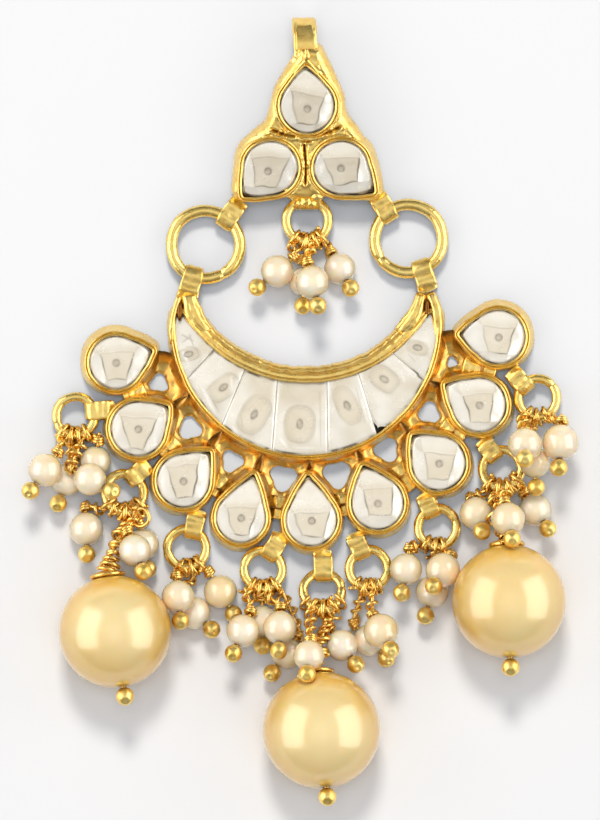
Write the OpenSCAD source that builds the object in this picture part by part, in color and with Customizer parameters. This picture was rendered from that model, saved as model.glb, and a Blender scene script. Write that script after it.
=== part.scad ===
// Dangle earring, lying face up: a three-stone top with an ear hook, two link
// rings, a crescent of seven stones with nine drop-shaped petals round it, and
// clusters of pearls on ball-ended wires that hang from jump rings.
// Millimetres. +Z is the front, +Y points to the ear hook, and the origin is on
// the surface that the earring lies on, under the middle of its outline.

/* [Cups] */
// Height of a cup from its back to its rim
cup_h = 2.5; // [2.2:0.1:3]
// Width of the rim round a stone
rim_w = 0.38; // [0.3:0.02:0.5]
// How much wider a wall is at the back than at the rim
flare = 0.34; // [0.26:0.02:0.5]
// Thickness of the closed back under the stones
back_t = 0.7; // [0.5:0.1:1]
// Gap between a stone and its cup
stone_gap = 0.05; // [0.03:0.01:0.08]

/* [Crescent] */
// Radius of the crescent's pocket
moon_r = 11.55; // [11.3:0.05:11.7]
// Radius of the arc that hollows it
bite_r = 12.6; // [12.4:0.05:12.8]
// How far that arc's centre lies above the pocket's
bite_up = 7.45; // [7.3:0.05:7.6]
// Slope of the wall along the bite, from rim to back
bite_flare = 1.1; // [0.8:0.1:1.3]

/* [Top] */
// Tilt of the trefoil, whose upper end lies on the ear hook
top_tilt = 12; // [11.5:0.5:12.5]
// Width of the ear hook's strip
strip_w = 2.1; // [1.8:0.1:2.3]
// Radius of the ear wire
wire_r = 0.4; // [0.35:0.05:0.45]

/* [Straps] */
// Thickness of a folded strap
strap_t = 0.28; // [0.24:0.02:0.32]
// Width of a strap that holds a jump ring
strap_w = 1.55; // [1.4:0.05:1.6]

/* [Rings] */
// Radius of a jump ring at the middle of its wire
jump_r = 1.7; // [1.65:0.05:1.75]
// Radius of a jump ring's wire
jump_wire = 0.42; // [0.38:0.02:0.44]
// Radius of the centre ring at the middle of its wire
centre_r = 1.87; // [1.8:0.01:1.9]
// Radius of a link ring at the middle of its wire
link_r = 3.02; // [2.95:0.01:3.05]
// Radius of a link ring's wire
link_wire = 0.54; // [0.5:0.02:0.56]
// Clearance round a ring's wire in its strap
ring_gap = 0.08; // [0.06:0.01:0.1]

/* [Head pins] */
// Radius of a head pin's wire
pin_r = 0.19; // [0.16:0.01:0.22]
// Radius of the ball on a small pin
ball_r = 0.78; // [0.7:0.02:0.8]
// Outer radius of the wrap above a pearl
wrap_r = 0.45; // [0.4:0.05:0.5]
// Length of that wrap
wrap_l = 0.8; // [0.6:0.1:0.9]

/* [Hidden] */
gold = "goldenrod";
clear = "gainsboro";
cream = "wheat";
champagne = "burlywood";
// thickness of the hook's strip and width of the tongue at its foot
strip_t = 0.7;
tongue_w = 1.3;
// puts the middle of the outline over the origin
mid = [0.53, 0.07, 0];
eps = 0.01;
// centre of the crescent's pocket
moon_c = [0, 7.5];
// line that the trefoil's lower edge lies on, and the height of its back there
top_y = 18.82;
top_z = 0.95;

// ---- tables ----
// trefoil cups: x, y above the lower edge, stone radius, reach of the point, direction of the point
TOP_CUPS = [
    [0.12, 8.43, 2.46, 3.6, 93],
    [-3.09, 2.93, 2.46, 3.6, 226],
    [3.07, 2.94, 2.46, 3.75, 323]];
// outline of the body that fills the corners between them, from the hook's foot down the left and back up the right
TOP_BODY = [[-0.95, 12.85], [-1.85, 11.4], [-2.8, 9.8], [-3.25, 8.05], [-3.5, 6.95], [-4.95, 5.7], [-5.85, 4.3], [-6.15, 2.4],
    [-6.0, 0.6], [6.1, 0.6], [6.25, 2.9], [5.4, 4.8], [4.5, 6.35], [3.45, 7.45], [3.45, 8.4], [2.95, 10.2], [2.05, 12.1], [1.15, 12.85]];
// petals: degrees from straight down, distance from the crescent's centre, stone radius, reach of the point, turn
PETALS = [
    [-78.6, 17.1, 2.4, 3.5, 6.5],
    [-58.1, 17.45, 2.46, 3.4, 4.5],
    [-38.1, 17.55, 2.4, 3.55, -5],
    [-18.6, 18.0, 2.26, 4.05, 2],
    [1.6, 17.3, 2.33, 4.1, 3],
    [21.8, 17.0, 2.39, 3.65, -1],
    [43.7, 16.95, 2.46, 3.5, 0],
    [65.0, 16.85, 2.46, 3.6, -6],
    [86.2, 17.0, 2.44, 3.6, 0]];
// distance of the opening between two petals from the crescent's centre
HOLES = [14.0, 13.75, 13.75, 13.7, 13.55, 13.2, 13.4, 13.35];
// reach of each of those openings from its own middle
HOLE_R = [0.9, 1.05, 1.05, 1.22, 1.26, 1.12, 1.0, 0.5];
web_t = 1.2;
// joints between the crescent's stones: x and y at the bite, x and y at the outer rim
CUTS = [
    [-8.75, 4.55, -10.05, 2.85],
    [-5.65, 3.0, -7.35, -1.3],
    [-2.55, 2.4, -3.05, -3.9],
    [1.9, 2.3, 1.9, -3.75],
    [4.7, 3.0, 6.05, -1.9],
    [7.8, 4.75, 9.5, 3.0]];
// rings: name, x, y, place of the strap on the ring, direction the strap points, strap length, lift of the free side, height
RINGS = [
    ["a", -20.35, -0.62, 16, 186, 2.2, 0, 1.3],
    ["b", -16.05, -7.41, 60, 221, 2.0, 12, 1.3],
    ["c", -10.53, -12.29, 69, 258, 2.2, 0, 1.3],
    ["d", -3.81, -14.15, 65, 238, 2.2, 6, 1.3],
    ["e", 1.44, -16.15, 87, 272, 2.4, 22, 1.3],
    ["f", 5.51, -14.04, 113, 294, 2.0, 6, 1.3],
    ["g", 11.61, -10.43, 112, 292, 1.8, 0, 1.3],
    ["h", 17.28, -5.31, 120, 308, 1.8, 12, 1.3],
    ["i", 20.44, 1.01, 137, 311, 2.0, 0, 1.3],
    ["0", 0.09, 16.66, 90, 270, 1.0, 0, 1.42]];
// pearls, lowest first: cluster, x, y, radius, direction of the pin's ball, pitch of the pin, place of its loop on the ring, least height
PEARLS = [
    ["0", -0.2, 11.25, 1.3, -92, 5, -92, 0],
    ["0", -2.55, 12.15, 1.45, -141, 6, -125, 0],
    ["0", 3.0, 12.4, 1.4, -62, 28, -48, 0],
    ["0", 0.55, 11.15, 1.48, -77, 22, -70, 0],
    ["a", -21.15, -6.25, 1.42, -109, 12, -105, 0],
    ["a", -18.6, -4.6, 1.38, -98, -12, -52, 0],
    ["a", -22.95, -5.35, 1.48, -125, 15, -130, 0],
    ["a", -19.0, -6.15, 1.43, -28, 14, -80, 0],
    ["b", -14.4, -11.9, 1.43, -79, 0, -35, 0],
    ["b", -19.4, -10.6, 1.5, -88, 18, -145, 0],
    ["b", -15.05, -12.4, 1.43, -67, 28, -60, 0],
    ["c", -7.55, -16.1, 1.48, -60, 0, -50, 0],
    ["c", -9.9, -18.0, 1.45, -42, 20, -75, 0],
    ["c", -11.25, -16.5, 1.45, -84, 22, -105, 0],
    ["d", -3.85, -18.7, 1.4, -90, 5, -102, 0],
    ["d", -1.75, -21.5, 1.4, -125, 10, -52, 0],
    ["d", -5.55, -19.5, 1.46, -113, 22, -128, 0],
    ["d", -2.3, -19.2, 1.47, -93, 30, -77, 0],
    ["f", 5.6, -20.4, 1.4, -47, 5, -100, 0],
    ["e", 3.15, -20.8, 1.4, -53, 22, -56, 0],
    ["e", 0.25, -21.55, 1.36, -96, 45, -120, 6.4],
    ["f", 6.6, -19.5, 1.55, -63, 42, -75, 0],
    ["g", 11.15, -16.1, 1.45, -106, 12, -97, 0],
    ["g", 8.8, -14.1, 1.42, -100, 20, -130, 2.5],
    ["g", 12.05, -14.15, 1.52, -122, 46, -72, 0],
    ["h", 20.25, -8.9, 1.43, -57, 30, -35, 0],
    ["h", 15.0, -9.2, 1.46, -73, 45, -132, 0],
    ["h", 17.7, -9.65, 1.48, -80, 42, -68, 5.55],
    ["i", 20.15, -4.7, 1.36, -87, 5, -95, 3.1],
    ["i", 19.2, -3.1, 1.48, -94, 58, -121, 0],
    ["i", 22.35, -2.95, 1.6, -95, 25, -62, 0]];
// large pearls: cluster, x, y, radius, direction of the pin's ball, pitch, place of its loop on the ring
LARGE = [
    ["b", -16.75, -19.5, 4.95, -81, 9, -88],
    ["e", 1.35, -28.15, 5.15, -85, 16, -88],
    ["h", 17.8, -16.85, 5.0, -89, 10, -100]];

// ---- vectors ----
function dir(az, pitch) = [cos(pitch) * cos(az), cos(pitch) * sin(az), sin(pitch)];
function unit(v) = v / norm(v);
function turn_z(v, a) = [v.x * cos(a) - v.y * sin(a), v.x * sin(a) + v.y * cos(a), v.z];
function turn_y(v, a) = [v.x * cos(a) + v.z * sin(a), v.y, -v.x * sin(a) + v.z * cos(a)];
function ring_row(name) = [for (r = RINGS) if (r[0] == name) r][0];
// where the strap crosses a ring, the point of a ring at a bearing, and the wire's direction there
function big_r(r) = r[0] == "0" ? centre_r : jump_r;
function strap_at(r) = [r[1] + big_r(r) * cos(r[3]), r[2] + big_r(r) * sin(r[3]), r[7]];
function on_ring(r, a) = strap_at(r)
    + turn_z(turn_y([big_r(r) * (cos(a - r[3]) - 1), big_r(r) * sin(a - r[3]), 0], r[6]), r[3]);
function along_ring(r, a) = turn_z(turn_y([-sin(a - r[3]), cos(a - r[3]), 0], r[6]), r[3]);

// ---- heights of the pearls: each rests on those listed before it, with its pin clear of the surface ----
function over_floor(p) = max(
    (p[3] + 0.12 + wrap_l) * sin(p[5]) + wrap_r * cos(p[5]) + 0.03,
    ball_r + 0.03 - (p[3] + 0.04 + ball_r) * sin(p[5]));
function rest_on(p, below) = max([p[3], p[7], over_floor(p), for (q = below)
    let (d = norm([p[1] - q[0], p[2] - q[1]]), s = p[3] + q[3] + 0.05)
    if (d < s) q[2] + sqrt(s * s - d * d)]);
function stack(i, done) = i == len(PEARLS) ? done
    : let (p = PEARLS[i]) stack(i + 1, concat(done, [[p[1], p[2], rest_on(p, done), p[3]]]));
SEATS = stack(0, []);

// ---- shapes ----
module place() { translate(mid) children(); }
// rod from a to b
module rod(a, b, r, fn = 20) {
    v = b - a;
    translate(a) rotate([0, acos(v.z / norm(v)), atan2(v.y, v.x)]) cylinder(h = norm(v), r = r, $fn = fn);
}
module ball(p, r, fn = 32) { translate(p) sphere(r = r, $fn = fn); }
module ring(big, small, fn = 48, fn2 = 20) { rotate_extrude($fn = fn) translate([big, 0]) circle(r = small, $fn = fn2); }
// outline of a drop: a round end and two flat sides that meet in a point along +X
module drop(r, tip, fn = 40) {
    a = acos(r / tip);
    circle(r = r, $fn = fn);
    polygon([[0, 0], [r * cos(a), -r * sin(a)], [tip, 0], [r * cos(a), r * sin(a)]]);
}
// a cup for a drop-shaped stone, wider at the back than at the rim
module cup(r, tip) {
    hull() {
        linear_extrude(eps) drop(r + rim_w + flare, tip + rim_w + flare, 32);
        translate([0, 0, cup_h - eps]) linear_extrude(eps) drop(r + rim_w, tip + rim_w * 1.4, 32);
    }
}
module pocket(r, tip) { translate([0, 0, back_t]) linear_extrude(cup_h) drop(r, tip); }
// a cut stone: girdle below, narrower table above
module drop_stone(r, tip) {
    translate([0, 0, back_t + stone_gap]) linear_extrude(cup_h - back_t - 0.45) drop(r - stone_gap, tip - stone_gap * 1.6);
    translate([0, 0, cup_h - 0.5]) linear_extrude(0.45) drop(r - 0.55, tip - 1.0);
}
// a strap folded round a ring's wire: its fold points along -Y, and its legs run back to +Y
module strap(w, inner, len) {
    translate([-w / 2, 0, 0]) rotate([90, 0, 90]) linear_extrude(w) difference() {
        union() {
            circle(r = inner + strap_t, $fn = 32);
            translate([0, -inner - strap_t]) square([len, 2 * (inner + strap_t)]);
        }
        circle(r = inner, $fn = 32);
        translate([0, -inner]) square([len * 0.45, 2 * inner]);
    }
}

// ---- trefoil ----
module on_top() { translate([0, top_y, top_z]) rotate([top_tilt, 0, 0]) children(); }
module at_top_cup(i) { c = TOP_CUPS[i]; translate([c[0], c[1], 0]) rotate([0, 0, c[4]]) children(); }
// the two link rings: centre, height, strap on the trefoil, strap on the crescent
LINKS = [
    [-8.86, 14.52, 1.25, 50, 235, 248, 74],
    [9.04, 15.08, 1.25, 129, 302, -66, 108]];
module link(i, extra = 0) {
    l = LINKS[i];
    translate([l[0], l[1], l[2]]) ring(link_r, link_wire + extra, 64, 24);
}
module jump(r, extra = 0) {
    translate(strap_at(r)) rotate([0, 0, r[3]]) rotate([0, r[6], 0]) translate([-big_r(r), 0, 0])
        ring(big_r(r), jump_wire + extra, 48, 20);
}
module link_strap(i, place_i, dir_i, w, len) {
    l = LINKS[i];
    translate([l[0] + link_r * cos(l[place_i]), l[1] + link_r * sin(l[place_i]), l[2]])
        rotate([0, 0, l[dir_i] + 90]) strap(w, link_wire + 0.2, len);
}
module top_frame() color(gold) place() difference() {
    union() {
        on_top() {
            for (i = [0 : 2]) at_top_cup(i) cup(TOP_CUPS[i][2], TOP_CUPS[i][3]);
            // body between the cups, higher in the middle
            linear_extrude(1.5) polygon(TOP_BODY);
            hull() { for (p = [[0, 7], [-3, 1.5], [3, 1.5]]) translate([p.x, p.y, 0]) cylinder(h = 2.1, r = 1.1, $fn = 16); }
            // shoulders that run up to the hook's strip
            hull() {
                translate([-1.2, 12.5, 0.55]) cube([2.4, 0.46, 1.6]);
                translate([-2.6, 10.2, 0]) cube([5.4, 0.3, 2.3]);
            }
            // grains at the foot of the two lower cups
            for (p = [[-0.9, 0.2], [0, 0.55], [0.9, 0.2], [0, -0.2]]) translate([p.x, p.y, 1.75]) sphere(r = 0.5, $fn = 16);
        }
        link_strap(0, 3, 4, 1.6, 2.2);
        link_strap(1, 3, 4, 1.6, 2.2);
        translate([0.09, 18.53, 1.42]) strap(2.4, jump_wire + 0.28, 1.0);
    }
    on_top() {
        for (i = [0 : 2]) at_top_cup(i) pocket(TOP_CUPS[i][2], TOP_CUPS[i][3]);
        // slot for the tongue at the hook's foot
        translate([-tongue_w / 2 - 0.04, 12.15, 1.0 - 0.04]) cube([tongue_w + 0.08, 2, strip_t + 0.08]);
    }
    link(0, ring_gap);
    link(1, ring_gap);
    jump(ring_row("0"), ring_gap);
}
module top_stone(i) color(clear) place() on_top() at_top_cup(i) drop_stone(TOP_CUPS[i][2], TOP_CUPS[i][3]);

// ---- ear hook: strip, bend and wire in one piece ----
hook_y = 13.11;
z1 = top_z + hook_y * sin(top_tilt) + 1.35 * cos(top_tilt);
y1 = top_y + hook_y * cos(top_tilt) - 1.35 * sin(top_tilt);
bend = (z1 - wire_r) / (1 + cos(top_tilt));
bend_y = y1 + bend * sin(top_tilt);
wire_end = 27.1;
module bend_part(from, sweep) {
    translate([0, bend_y, wire_r + bend]) rotate([90, 0, 90]) rotate([0, 0, from])
        rotate_extrude(angle = sweep, $fn = 64) translate([bend, 0]) children();
}
module ear_hook() color(gold) place() {
    on_top() {
        translate([-tongue_w / 2, 12.2, 1.0]) cube([tongue_w, 0.9, strip_t]);
        translate([-strip_w / 2, 13.0, 1.0]) cube([strip_w, hook_y - 13.0 + eps, strip_t]);
    }
    bend_part(-10, 100 + top_tilt) square([strip_t, strip_w], center = true);
    bend_part(-90, 82) circle(r = wire_r, $fn = 24);
    translate([0, bend_y, wire_r]) rotate([90, 0, 0]) cylinder(h = bend_y - wire_end, r = wire_r, $fn = 24);
}

// ---- rings ----
module link_ring(i) color(gold) place() link(i);
module centre_ring() color(gold) place() jump(ring_row("0"));
module jump_ring(name) color(gold) place() jump(ring_row(name));

// ---- crescent and petals ----
module moon_2d(grow = 0) {
    difference() {
        translate(moon_c) circle(r = moon_r + grow, $fn = 96);
        translate([moon_c.x, moon_c.y + bite_up]) circle(r = bite_r - grow, $fn = 96);
        // the horns end under the straps of the link rings
        translate([-20, 8.5]) square([40, 12]);
    }
}
module at_petal(i) {
    p = PETALS[i];
    translate([moon_c.x + p[1] * sin(p[0]), moon_c.y - p[1] * cos(p[0]), 0]) rotate([0, 0, p[0] + 90 + p[4]]) children();
}
module horn(side) {
    // from the end of the crescent up to the strap on the link ring
    l = LINKS[side < 0 ? 0 : 1];
    sx = l[0] + link_r * cos(l[5]);
    sy = l[1] + link_r * sin(l[5]);
    hull() {
        translate([sx, sy, 0.3]) rotate([0, 0, l[6]]) translate([-1.9, -0.85, 0]) cube([0.3, 1.7, 1.9]);
        translate([side * 10.85 - 1.55, 8.3, 0]) cube([3.1, 0.35, eps]);
        translate([side * 11.15 - 0.8, 8.3, cup_h - eps]) cube([1.6, 0.35, eps]);
    }
}
// band that joins the petals to the crescent, with an opening between each two petals
module web() difference() {
    translate(moon_c) intersection() {
        difference() {
            cylinder(h = web_t, r = 15.6, $fn = 64);
            translate([0, 0, -1]) cylinder(h = web_t + 2, r = moon_r - 0.3, $fn = 64);
        }
        linear_extrude(web_t) polygon(concat([[0, 0]], [for (a = [PETALS[0][0] : 10 : PETALS[8][0] + 5]) 30 * [sin(a), -cos(a)]]));
    }
    for (i = [0 : 7]) {
        a = (PETALS[i][0] + PETALS[i + 1][0]) / 2;
        translate([moon_c.x + HOLES[i] * sin(a), moon_c.y - HOLES[i] * cos(a), -1]) rotate([0, 0, a - 90])
            linear_extrude(web_t + 2) hull() for (k = [0 : 2]) rotate([0, 0, 120 * k]) translate([0.58 * HOLE_R[i], 0]) circle(r = 0.42 * HOLE_R[i], $fn = 16);
    }
}
module lower_frame() color(gold) place() difference() {
    union() {
        difference() {
            translate(moon_c) cylinder(h = cup_h, r1 = moon_r + rim_w + flare, r2 = moon_r + rim_w, $fn = 96);
            translate([moon_c.x, moon_c.y + bite_up, -eps])
                cylinder(h = cup_h + 2 * eps, r1 = bite_r - rim_w - bite_flare, r2 = bite_r - rim_w, $fn = 96);
            translate([-20, 8.6, -1]) cube([40, 12, 5]);
        }
        for (i = [0 : 8]) at_petal(i) cup(PETALS[i][2], PETALS[i][3]);
        for (r = RINGS) if (r[0] != "0")
            translate(strap_at(r)) rotate([0, 0, r[4] + 90]) strap(strap_w, jump_wire + 0.2, r[5]);
        link_strap(0, 5, 6, 1.7, 2.2);
        link_strap(1, 5, 6, 1.75, 2.2);
        web();
        horn(-1);
        horn(1);
    }
    for (i = [0 : 8]) at_petal(i) pocket(PETALS[i][2], PETALS[i][3]);
    translate([0, 0, back_t]) linear_extrude(cup_h) moon_2d();
    link(0, ring_gap);
    link(1, ring_gap);
    for (r = RINGS) if (r[0] != "0") jump(r, ring_gap);
}
module crescent_stone(i) color(clear) place() {
    // the joints bound a stone left and right; the end stones are bounded by the horns
    a = i == 0 ? [-16, 12, -16, -6] : CUTS[i - 1];
    b = i == 6 ? [16, 12, 16, -6] : CUTS[i];
    // both joints are drawn on past the crescent, and the stone stops short of them
    da = [a[2] - a[0], a[3] - a[1]] / norm([a[2] - a[0], a[3] - a[1]]);
    db = [b[2] - b[0], b[3] - b[1]] / norm([b[2] - b[0], b[3] - b[1]]);
    na = [-da.y, da.x] * stone_gap;
    nb = [db.y, -db.x] * stone_gap;
    A = [a[0], a[1]] + na;
    B = [b[0], b[1]] + nb;
    translate([0, 0, back_t + stone_gap]) linear_extrude(cup_h - back_t - 0.2) intersection() {
        moon_2d(-stone_gap);
        polygon([A - da * (i == 0 ? 0 : 4), A + da * 16, B + db * 16, B - db * (i == 6 ? 0 : 4)]);
    }
}
module petal_stone(i) color(clear) place() at_petal(i) drop_stone(PETALS[i][2], PETALS[i][3]);

// ---- pearls and head pins ----
function cluster(name) = [for (i = [0 : len(PEARLS) - 1]) if (PEARLS[i][0] == name) i];
function seat(i) = [SEATS[i][0], SEATS[i][1], SEATS[i][2]];
module pearls(name) color(cream) place() for (i = cluster(name)) {
    r = PEARLS[i][3];
    d = dir(PEARLS[i][4], PEARLS[i][5]);
    difference() {
        ball(seat(i), r, 48);
        rod(seat(i) - d * (r + 1), seat(i) + d * (r + 1), pin_r + 0.07, 16);
    }
}
// a pin from its ball through a pearl to a wrap, a neck and a loop round the ring
module head_pin(p, r, d, row, at, w_r, w_l, wire, b_r) {
    top = p - d * (r + 0.12);
    end = top - d * w_l;
    q = on_ring(row, at);
    t = along_ring(row, at);
    loop_r = jump_wire + 0.1 + wire;
    u = end - q - t * ((end - q) * t);
    rod(p + d * (r + b_r * 0.6), end + d * 0.15, wire);
    ball(p + d * (r + b_r + 0.04), b_r);
    rod(top, end, w_r, 24);
    // the neck is a little thinner than the loop that it meets
    rod(end + d * 0.3, q + unit(u) * loop_r, wire * 0.85);
    translate(q) rotate([0, acos(t.z), atan2(t.y, t.x)]) ring(loop_r, wire, 32, 16);
}
module head_pins(name) color(gold) place() for (i = cluster(name))
    head_pin(seat(i), PEARLS[i][3], dir(PEARLS[i][4], PEARLS[i][5]), ring_row(name), PEARLS[i][6], wrap_r, wrap_l, pin_r, ball_r);
function large_row(name) = [for (l = LARGE) if (l[0] == name) l][0];
function large_seat(l) = [l[1], l[2], l[3] + 0.0];
module large_pearl(name) color(champagne) place() {
    l = large_row(name);
    d = dir(l[4], l[5]);
    difference() {
        ball(large_seat(l), l[3], 96);
        rod(large_seat(l) - d * (l[3] + 1), large_seat(l) + d * (l[3] + 1), 0.35, 20);
    }
}
module large_pin(name) color(gold) place() {
    l = large_row(name);
    head_pin(large_seat(l), l[3], dir(l[4], l[5]), ring_row(name), l[6], 0.6, 1.0, 0.24, 0.8);
}

top_frame();
ear_hook();
top_stone(0);  // top_stone_1
top_stone(1);  // top_stone_2
top_stone(2);  // top_stone_3
link_ring(0);  // link_ring_left
link_ring(1);  // link_ring_right
centre_ring();
lower_frame();
crescent_stone(0);  // crescent_stone_1
crescent_stone(1);  // crescent_stone_2
crescent_stone(2);  // crescent_stone_3
crescent_stone(3);  // crescent_stone_4
crescent_stone(4);  // crescent_stone_5
crescent_stone(5);  // crescent_stone_6
crescent_stone(6);  // crescent_stone_7
petal_stone(0);  // petal_stone_1
petal_stone(1);  // petal_stone_2
petal_stone(2);  // petal_stone_3
petal_stone(3);  // petal_stone_4
petal_stone(4);  // petal_stone_5
petal_stone(5);  // petal_stone_6
petal_stone(6);  // petal_stone_7
petal_stone(7);  // petal_stone_8
petal_stone(8);  // petal_stone_9
jump_ring("a");  // jump_ring_a
jump_ring("b");  // jump_ring_b
jump_ring("c");  // jump_ring_c
jump_ring("d");  // jump_ring_d
jump_ring("e");  // jump_ring_e
jump_ring("f");  // jump_ring_f
jump_ring("g");  // jump_ring_g
jump_ring("h");  // jump_ring_h
jump_ring("i");  // jump_ring_i
pearls("0");  // pearls_0
pearls("a");  // pearls_a
pearls("b");  // pearls_b
pearls("c");  // pearls_c
pearls("d");  // pearls_d
pearls("e");  // pearls_e
pearls("f");  // pearls_f
pearls("g");  // pearls_g
pearls("h");  // pearls_h
pearls("i");  // pearls_i
head_pins("0");  // head_pins_0
head_pins("a");  // head_pins_a
head_pins("b");  // head_pins_b
head_pins("c");  // head_pins_c
head_pins("d");  // head_pins_d
head_pins("e");  // head_pins_e
head_pins("f");  // head_pins_f
head_pins("g");  // head_pins_g
head_pins("h");  // head_pins_h
head_pins("i");  // head_pins_i
large_pearl("b");  // large_pearl_b
large_pearl("e");  // large_pearl_e
large_pearl("h");  // large_pearl_h
large_pin("b");  // large_pin_b
large_pin("e");  // large_pin_e
large_pin("h");  // large_pin_h
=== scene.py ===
import bpy, math
import numpy as np
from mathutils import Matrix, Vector, noise


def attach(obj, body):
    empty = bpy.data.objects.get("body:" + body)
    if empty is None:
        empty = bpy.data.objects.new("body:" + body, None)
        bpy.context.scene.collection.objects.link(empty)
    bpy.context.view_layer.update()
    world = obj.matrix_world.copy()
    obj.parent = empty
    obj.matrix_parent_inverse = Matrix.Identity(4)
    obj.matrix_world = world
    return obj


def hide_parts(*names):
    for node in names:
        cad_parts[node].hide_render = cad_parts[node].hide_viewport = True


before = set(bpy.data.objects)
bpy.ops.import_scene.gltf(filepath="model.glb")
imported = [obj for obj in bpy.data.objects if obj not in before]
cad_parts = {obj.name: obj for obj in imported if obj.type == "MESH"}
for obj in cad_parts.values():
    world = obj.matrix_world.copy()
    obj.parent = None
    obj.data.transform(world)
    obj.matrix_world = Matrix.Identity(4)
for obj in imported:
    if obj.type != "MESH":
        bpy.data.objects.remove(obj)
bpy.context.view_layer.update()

MM = 0.001
MID = np.array([0.53, 0.07, 0.0])

# ------------------------------------------------------------------ tables, as in the CAD model (mm)
CUP_H = 2.5
MOON_R, BITE_R, BITE_UP = 11.55, 12.6, 7.45
MOON_C = np.array([0.0, 7.5])
BITE_C = MOON_C + np.array([0.0, BITE_UP])
TOP_TILT, TOP_Y, TOP_Z = 12.0, 18.82, 0.95
JUMP_R, JUMP_W, CENTRE_R, LINK_R, LINK_W = 1.7, 0.42, 1.87, 3.02, 0.54
PIN_R, BALL_R, WRAP_R, WRAP_L = 0.19, 0.78, 0.45, 0.8
# trefoil: x, y, stone radius, reach of the point, direction of the point
TOP_CUPS = [
    (0.12, 8.43, 2.46, 3.6, 93),
    (-3.09, 2.93, 2.46, 3.6, 226),
    (3.07, 2.94, 2.46, 3.75, 323)]
# petals: degrees from down, distance, stone radius, reach of the point, turn
PETALS = [
    (-78.6, 17.1, 2.4, 3.5, 6.5), (-58.1, 17.45, 2.46, 3.4, 4.5), (-38.1, 17.55, 2.4, 3.55, -5),
    (-18.6, 18.0, 2.26, 4.05, 2), (1.6, 17.3, 2.33, 4.1, 3), (21.8, 17.0, 2.39, 3.65, -1),
    (43.7, 16.95, 2.46, 3.5, 0), (65.0, 16.85, 2.46, 3.6, -6), (86.2, 17.0, 2.44, 3.6, 0)]
HOLES = [14.0, 13.75, 13.75, 13.7, 13.55, 13.2, 13.4, 13.35]
HOLE_R = [0.86, 1.05, 1.02, 1.22, 1.26, 1.12, 1.0, 0.5]
CUTS = [
    (-8.75, 4.55, -10.05, 2.85), (-5.65, 3.0, -7.35, -1.3), (-2.55, 2.4, -3.05, -3.9),
    (1.9, 2.3, 1.9, -3.75), (4.7, 3.0, 6.05, -1.9), (7.8, 4.75, 9.5, 3.0)]
RINGS = {
    "a": (-20.35, -0.62, 16, 186, 2.2, 0, 1.3), "b": (-16.05, -7.41, 60, 221, 2.0, 12, 1.3),
    "c": (-10.53, -12.29, 69, 258, 2.2, 0, 1.3), "d": (-3.81, -14.15, 65, 238, 2.2, 6, 1.3),
    "e": (1.44, -16.15, 87, 272, 2.4, 22, 1.3), "f": (5.51, -14.04, 113, 294, 2.0, 6, 1.3),
    "g": (11.61, -10.43, 112, 292, 1.8, 0, 1.3), "h": (17.28, -5.31, 120, 308, 1.8, 12, 1.3),
    "i": (20.44, 1.01, 137, 311, 2.0, 0, 1.3), "0": (0.09, 16.66, 90, 270, 1.0, 0, 1.42)}
LINKS = [(-8.86, 14.52, 1.25, 50, 235, 248, 74), (9.04, 15.08, 1.25, 129, 302, -66, 108)]
# pearls: cluster, x, y, radius, pin's direction, pitch, loop's place, least height, tint
PEARLS = [
    ("0", -0.2, 11.25, 1.3, -92, 5, -92, 0), ("0", -2.55, 12.15, 1.45, -141, 6, -125, 0),
    ("0", 3.0, 12.4, 1.4, -62, 28, -48, 0), ("0", 0.55, 11.15, 1.48, -77, 22, -70, 0),
    ("a", -21.15, -6.25, 1.42, -109, 12, -105, 0), ("a", -18.6, -4.6, 1.38, -98, -12, -52, 0),
    ("a", -22.95, -5.35, 1.48, -125, 15, -130, 0), ("a", -19.0, -6.15, 1.43, -28, 14, -80, 0),
    ("b", -14.4, -11.9, 1.43, -79, 0, -35, 0), ("b", -19.4, -10.6, 1.5, -88, 18, -145, 0),
    ("b", -15.05, -12.4, 1.43, -67, 28, -60, 0),
    ("c", -7.55, -16.1, 1.48, -60, 0, -50, 0), ("c", -9.9, -18.0, 1.45, -42, 20, -75, 0),
    ("c", -11.25, -16.5, 1.45, -84, 22, -105, 0),
    ("d", -3.85, -18.7, 1.4, -90, 5, -102, 0), ("d", -1.75, -21.5, 1.4, -125, 10, -52, 0),
    ("d", -5.55, -19.5, 1.46, -113, 22, -128, 0), ("d", -2.3, -19.2, 1.47, -93, 30, -77, 0),
    ("f", 5.6, -20.4, 1.4, -47, 5, -100, 0), ("e", 3.15, -20.8, 1.4, -53, 22, -56, 0),
    ("e", 0.25, -21.55, 1.36, -96, 45, -120, 6.4), ("f", 6.6, -19.5, 1.55, -63, 42, -75, 0),
    ("g", 11.15, -16.1, 1.45, -106, 12, -97, 0), ("g", 8.8, -14.1, 1.42, -100, 20, -130, 2.5),
    ("g", 12.05, -14.15, 1.52, -122, 46, -72, 0),
    ("h", 20.25, -8.9, 1.43, -57, 30, -35, 0), ("h", 15.0, -9.2, 1.46, -73, 45, -132, 0),
    ("h", 17.7, -9.65, 1.48, -80, 42, -68, 5.55),
    ("i", 20.15, -4.7, 1.36, -87, 5, -95, 3.1), ("i", 19.2, -3.1, 1.48, -94, 58, -121, 0),
    ("i", 22.35, -2.95, 1.6, -95, 25, -62, 0)]
LARGE = [
    ("b", -16.75, -19.5, 4.95, -81, 9, -88), ("e", 1.35, -28.15, 5.15, -85, 16, -88),
    ("h", 17.8, -16.85, 5.0, -89, 10, -100)]

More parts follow.
